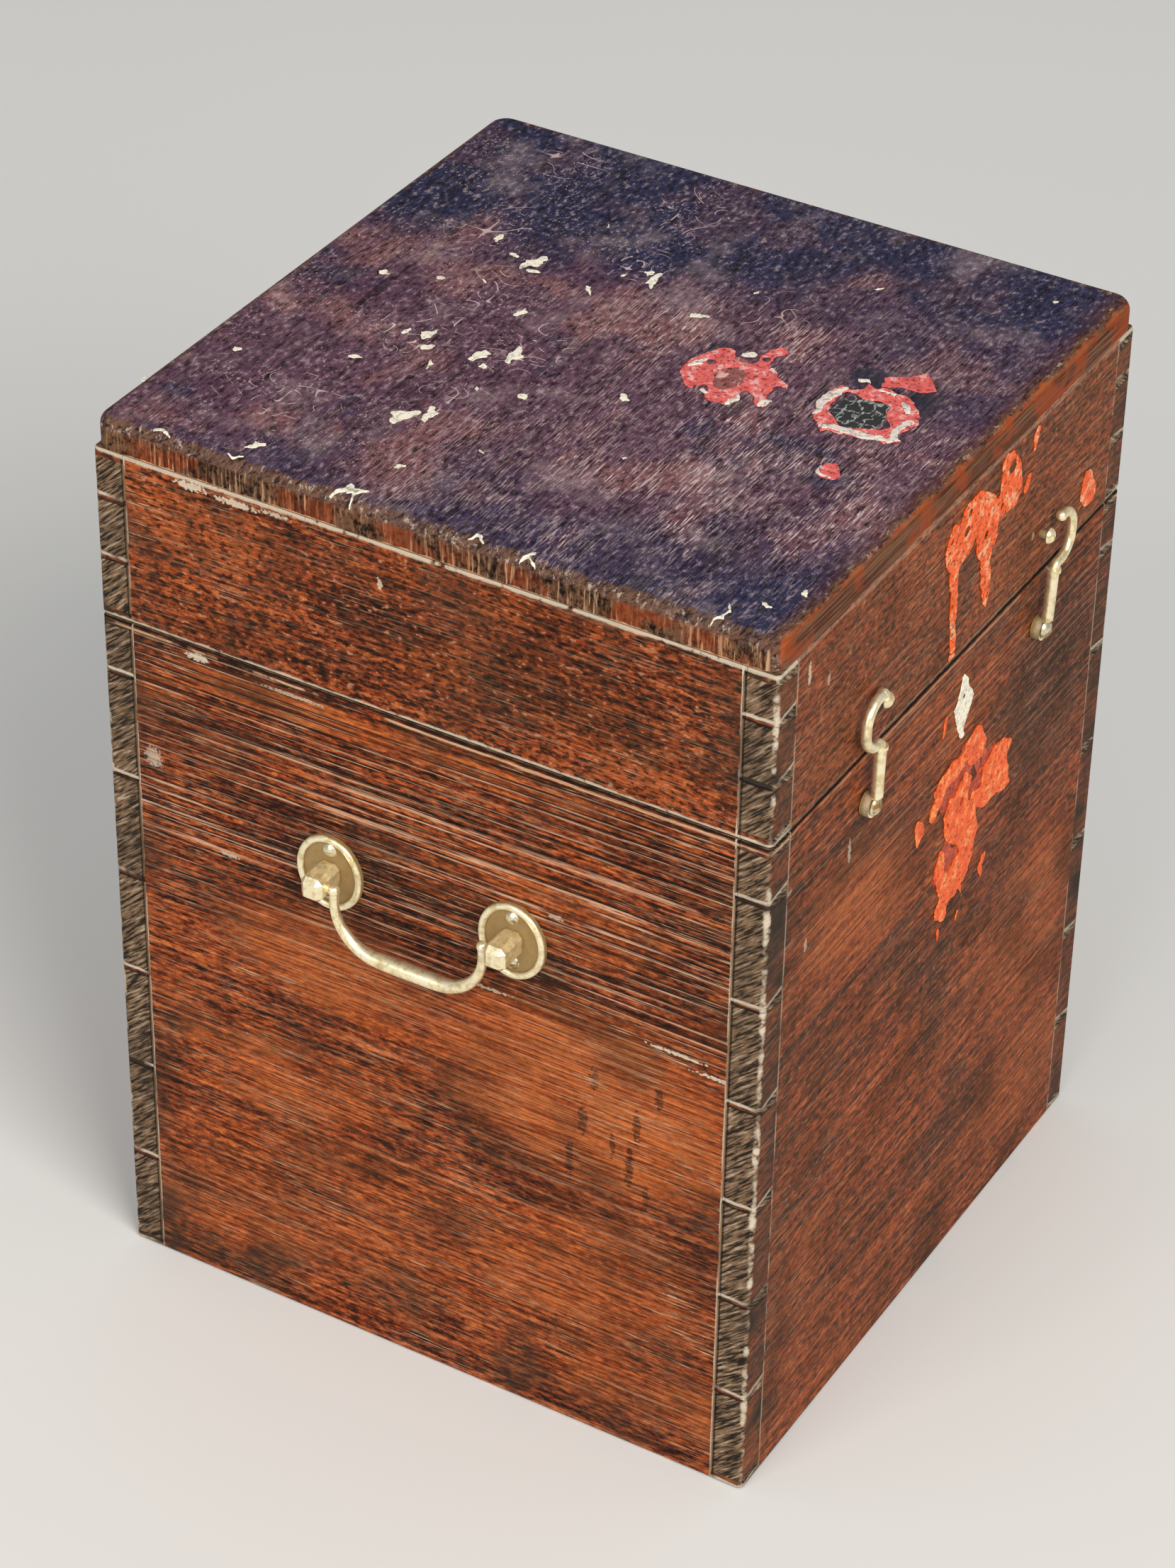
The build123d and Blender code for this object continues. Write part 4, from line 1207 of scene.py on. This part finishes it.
# Cream flecks on the top board: x, y and size.
FLECK_PLACES = [
    (53, 93, 5.4), (44, 81, 4.2), (44, 70, 9.0), (38, 66, 4.6), (56, 20, 7.0), (61, 26, 3.4),
    (36, 40, 4.2), (54, 34, 2.8), (3, 118, 3.6), (6, 53, 5.4), (41, -10, 5.4), (-30, 75, 6.8),
    (-32, 84, 3.8), (-38, 70, 4.6), (-61, 90, 4.6), (-80, 133, 3.2), (-33, 49, 8.8), (-26, 37, 6.4),
    (-40, 44, 4.2), (-31, -17, 5.0), (-89, 49, 9.6), (-83, 42, 6.4), (-52, 18, 6.6), (-119, 151, 2.6),
    (-117, -145, 3.0), (-132, -136, 3.0), (-138, 86, 3.4), (128, -128, 2.0), (100, -60, 1.8),
    (70, -20, 2.0), (20, 80, 2.2), (-70, -40, 2.2), (-50, 62, 2.6), (-56, 36, 2.4), (12, 96, 2.2),
    (-95, 10, 2.2), (86, 60, 1.8), (-122, 30, 2.2),
]
# Spidery flecks on the rim, and curls near the front left corner.
EDGE_FLECKS = [
    chain((-152, 43, 0.4), (-148, 39, 0.8), (-146, 35, 2.0), (-144, 31, 0.6)),
    chain((-146, 35, 1.1), (-152, 33, 0.5)) + chain((-147, 37, 1.1), (-142, 38, 0.4)),
    chain((-151, -42, 0.4), (-149, -45, 1.1), (-147, -46, 0.6))
    + chain((-149, -45, 0.7), (-151, -49, 0.4)),
    chain((-150, -20, 0.4), (-148, -22, 0.9), (-150, -25, 0.4)),
    chain((-147, 84, 0.5), (-149, 88, 0.8), (-148, 91, 0.4)),
    chain((-149, 119, 0.4), (-148, 122, 0.8), (-150, 125, 0.4)),
    chain((-151, -124, 0.5), (-148, -127, 0.6), (-143, -127, 0.5), (-139, -124, 0.4)),
]


class SPICEBOX_OT_front_paint(bpy.types.Operator):
    """Lay the orange paint on the front of lid and body"""

    bl_idname = "spicebox.front_paint"
    bl_label = "Front paint"

    def execute(self, context):
        scene = context.scene
        paint = scene.spicebox_paint
        stain = scene.spicebox_wood.dark_stain
        orange = dried_paint("orange_paint", paint.orange_paint, paint.faded_orange_and_highlight, stain, 0.5)
        worn = dried_paint("worn_orange_paint", paint.orange_paint, paint.worn_orange, stain, 0.8)
        film = dried_paint("thin_paint", paint.thin_paint, paint.thick_film, stain, 0.8)
        cream = dried_paint("cream_paint", paint.cream_paint, paint.cream_paint, stain, 0.3)
        laid = (
            ("lid_paint_runs", LID_RUNS, worn, "lid", "lid_wood", 1.3),
            ("lid_paint_spots", LID_SPOTS, worn, "lid", "lid_wood", 0.9),
            ("body_paint_film", BODY_FILM, film, "box", "body_wood", 0.4),
            ("body_paint_patch", BODY_PATCH, orange, "box", "body_wood", 1.2),
            ("body_paint_spots", BODY_SPOTS, orange, "box", "body_wood", 0.8),
            ("body_white_blot", WHITE_BLOT, cream, "box", "body_wood", 0.8),
        )
        for name, shape, material, body, slot, thickness in laid:
            piece = paint_skin(name, shape, FRONT, -HALF_DEPTH, material, paint, thickness=thickness)
            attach(piece, body)
        return {"FINISHED"}


class SPICEBOX_OT_top_paint(bpy.types.Operator):
    """Lay the coral paint and the cream flecks on the top board"""

    bl_idname = "spicebox.top_paint"
    bl_label = "Top paint"

    def execute(self, context):
        scene = context.scene
        paint = scene.spicebox_paint
        stain = scene.spicebox_wood.shadow_stain
        coral = dried_paint("coral_paint", paint.coral_paint, paint.faded_coral, stain, 0.7)
        crust = dried_paint("paint_crust", paint.crust, paint.cream_paint, stain, 0.6)
        film = dried_paint("coral_film", paint.coral_film, paint.faded_coral, stain, 0.8)
        laid = (
            ("top_paint_film", TOP_FILM, film, 0.4),
            ("top_paint_patch", TOP_PATCH, coral, 1.0),
            ("top_paint_ring", TOP_RING, coral, 1.2),
            ("top_paint_tail", TOP_TAIL, coral, 0.9),
            ("top_paint_crust", RING_CRUST, crust, 1.7),
            ("top_paint_spot", TOP_SPOT, coral, 0.8),
        )
        for name, shape, material, thickness in laid:
            piece = paint_skin(name, shape, UPWARDS, TOP, material, paint, thickness=thickness, cell=0.8)
            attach(piece, "lid")

        cream = finish_of("cream_paint")
        flecks = [fleck_runs(*place) for place in FLECK_PLACES]
        groups = (("top_flecks", flecks, None, 0.8), ("top_edge_flecks", EDGE_FLECKS, "lid_top", 1.2))
        for name, places, onto, thickness in groups:
            pieces = []
            for runs in places:
                shape = {"runs": runs, "ragged": 1.3}
                skin = paint_skin(name, shape, UPWARDS, TOP, cream, paint, onto, thickness, cell=0.4)
                pieces.append(skin)
            joined = join(pieces, name)
            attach(joined, "lid")
        return {"FINISHED"}


class SPICEBOX_OT_stage(bpy.types.Operator):
    """Add the floor, the lamps and the camera"""

    bl_idname = "spicebox.stage"
    bl_label = "Stage"

    def execute(self, context):
        scene = context.scene
        stage = scene.spicebox_stage
        bpy.ops.mesh.primitive_grid_add(
            x_subdivisions=FLOOR_CELLS,
            y_subdivisions=FLOOR_CELLS,
            size=FLOOR_SIZE,
            location=(0, 0, -FLOOR_DROP),
        )
        floor = context.object
        floor.name = "floor"
        bpy.ops.object.transform_apply()
        finish = Finish("plain_floor")
        mottle = finish.cloud(3.0, detail=2.0)
        pale = tuple(min(c * 1.02, 1) for c in stage.floor_colour)
        floor.data.materials.append(
            finish.shade(Base_Color=finish.mix(mottle, stage.floor_colour, pale), Roughness=0.9)
        )

        world = bpy.data.worlds.new("even_light")
        scene.world = world
        world.use_nodes = True
        background = next(n for n in world.node_tree.nodes if n.type == "BACKGROUND")
        background.inputs["Color"].default_value = (*SKY_COLOUR, 1)
        background.inputs["Strength"].default_value = stage.sky_strength

        lamps = (("key", stage.key_power, KEY_PLACE), ("fill", stage.fill_power, FILL_PLACE))
        for name, watts, place in lamps:
            bpy.ops.object.light_add(type="AREA", radius=1, location=place)
            lamp = context.object
            lamp.name = name
            lamp.data.energy = watts
            lamp.data.size = LAMP_SIZE
            lamp.data.color = LAMP_COLOUR
            lamp.rotation_euler = (Vector(AIM) - Vector(place)).to_track_quat("-Z", "Y").to_euler()

        bpy.ops.object.camera_add()
        camera = context.object
        camera.name = "camera"
        camera.data.sensor_width = SENSOR_WIDTH
        camera.data.lens = stage.lens
        camera.data.clip_end = CLIP_END
        level = Vector((math.cos(CAMERA_AZIMUTH), math.sin(CAMERA_AZIMUTH), 0))
        flat = math.cos(CAMERA_ELEVATION)
        back = Vector((level.y * flat, -level.x * flat, math.sin(CAMERA_ELEVATION)))
        rise = back.cross(level)
        right = level * math.cos(CAMERA_ROLL) + rise * math.sin(CAMERA_ROLL)
        up = rise * math.cos(CAMERA_ROLL) - level * math.sin(CAMERA_ROLL)
        turned = Matrix((right, up, back)).transposed().to_4x4()
        camera.matrix_world = Matrix.Translation(CAMERA_PLACE) @ turned
        scene.camera = camera
        scene.view_settings.view_transform = "Standard"
        return {"FINISHED"}


class SPICEBOX_PT_panel(bpy.types.Panel):
    """Lists every step of the box"""

    bl_idname = "SPICEBOX_PT_panel"
    bl_label = "Spice Box"
    bl_space_type = "VIEW_3D"
    bl_region_type = "UI"
    bl_category = "Spice Box"

    def draw(self, context):
        column = self.layout.column()
        for operator in OPERATORS:
            column.operator(operator.bl_idname)
        for name, group in GROUPS.items():
            part = self.layout.box()
            for field in group.__annotations__:
                part.prop(getattr(context.scene, name), field)


GROUPS = {
    "spicebox_wood": SpiceBoxWood,
    "spicebox_top": SpiceBoxTop,
    "spicebox_brass": SpiceBoxBrass,
    "spicebox_paint": SpiceBoxPaint,
    "spicebox_stage": SpiceBoxStage,
}
OPERATORS = (
    SPICEBOX_OT_stage,
    SPICEBOX_OT_body_boards,
    SPICEBOX_OT_lid_boards,
    SPICEBOX_OT_top_board,
    SPICEBOX_OT_bottom_board,
    SPICEBOX_OT_handles,
    SPICEBOX_OT_hooks,
    SPICEBOX_OT_hinges,
    SPICEBOX_OT_screws,
    SPICEBOX_OT_front_paint,
    SPICEBOX_OT_top_paint,
)


def register():
    for group in GROUPS.values():
        bpy.utils.register_class(group)
    for name, group in GROUPS.items():
        setattr(bpy.types.Scene, name, PointerProperty(type=group))
    for operator in OPERATORS:
        bpy.utils.register_class(operator)
    bpy.utils.register_class(SPICEBOX_PT_panel)


def unregister():
    bpy.utils.unregister_class(SPICEBOX_PT_panel)
    for operator in reversed(OPERATORS):
        bpy.utils.unregister_class(operator)
    for name, group in reversed(GROUPS.items()):
        delattr(bpy.types.Scene, name)
        bpy.utils.unregister_class(group)


def main():
    register()
    bpy.ops.spicebox.stage()
    bpy.ops.spicebox.body_boards()
    bpy.ops.spicebox.lid_boards()
    bpy.ops.spicebox.top_board()
    bpy.ops.spicebox.bottom_board()
    bpy.ops.spicebox.handles()
    bpy.ops.spicebox.hooks()
    bpy.ops.spicebox.hinges()
    bpy.ops.spicebox.screws()
    bpy.ops.spicebox.front_paint()
    bpy.ops.spicebox.top_paint()


if __name__ == "__main__":
    main()
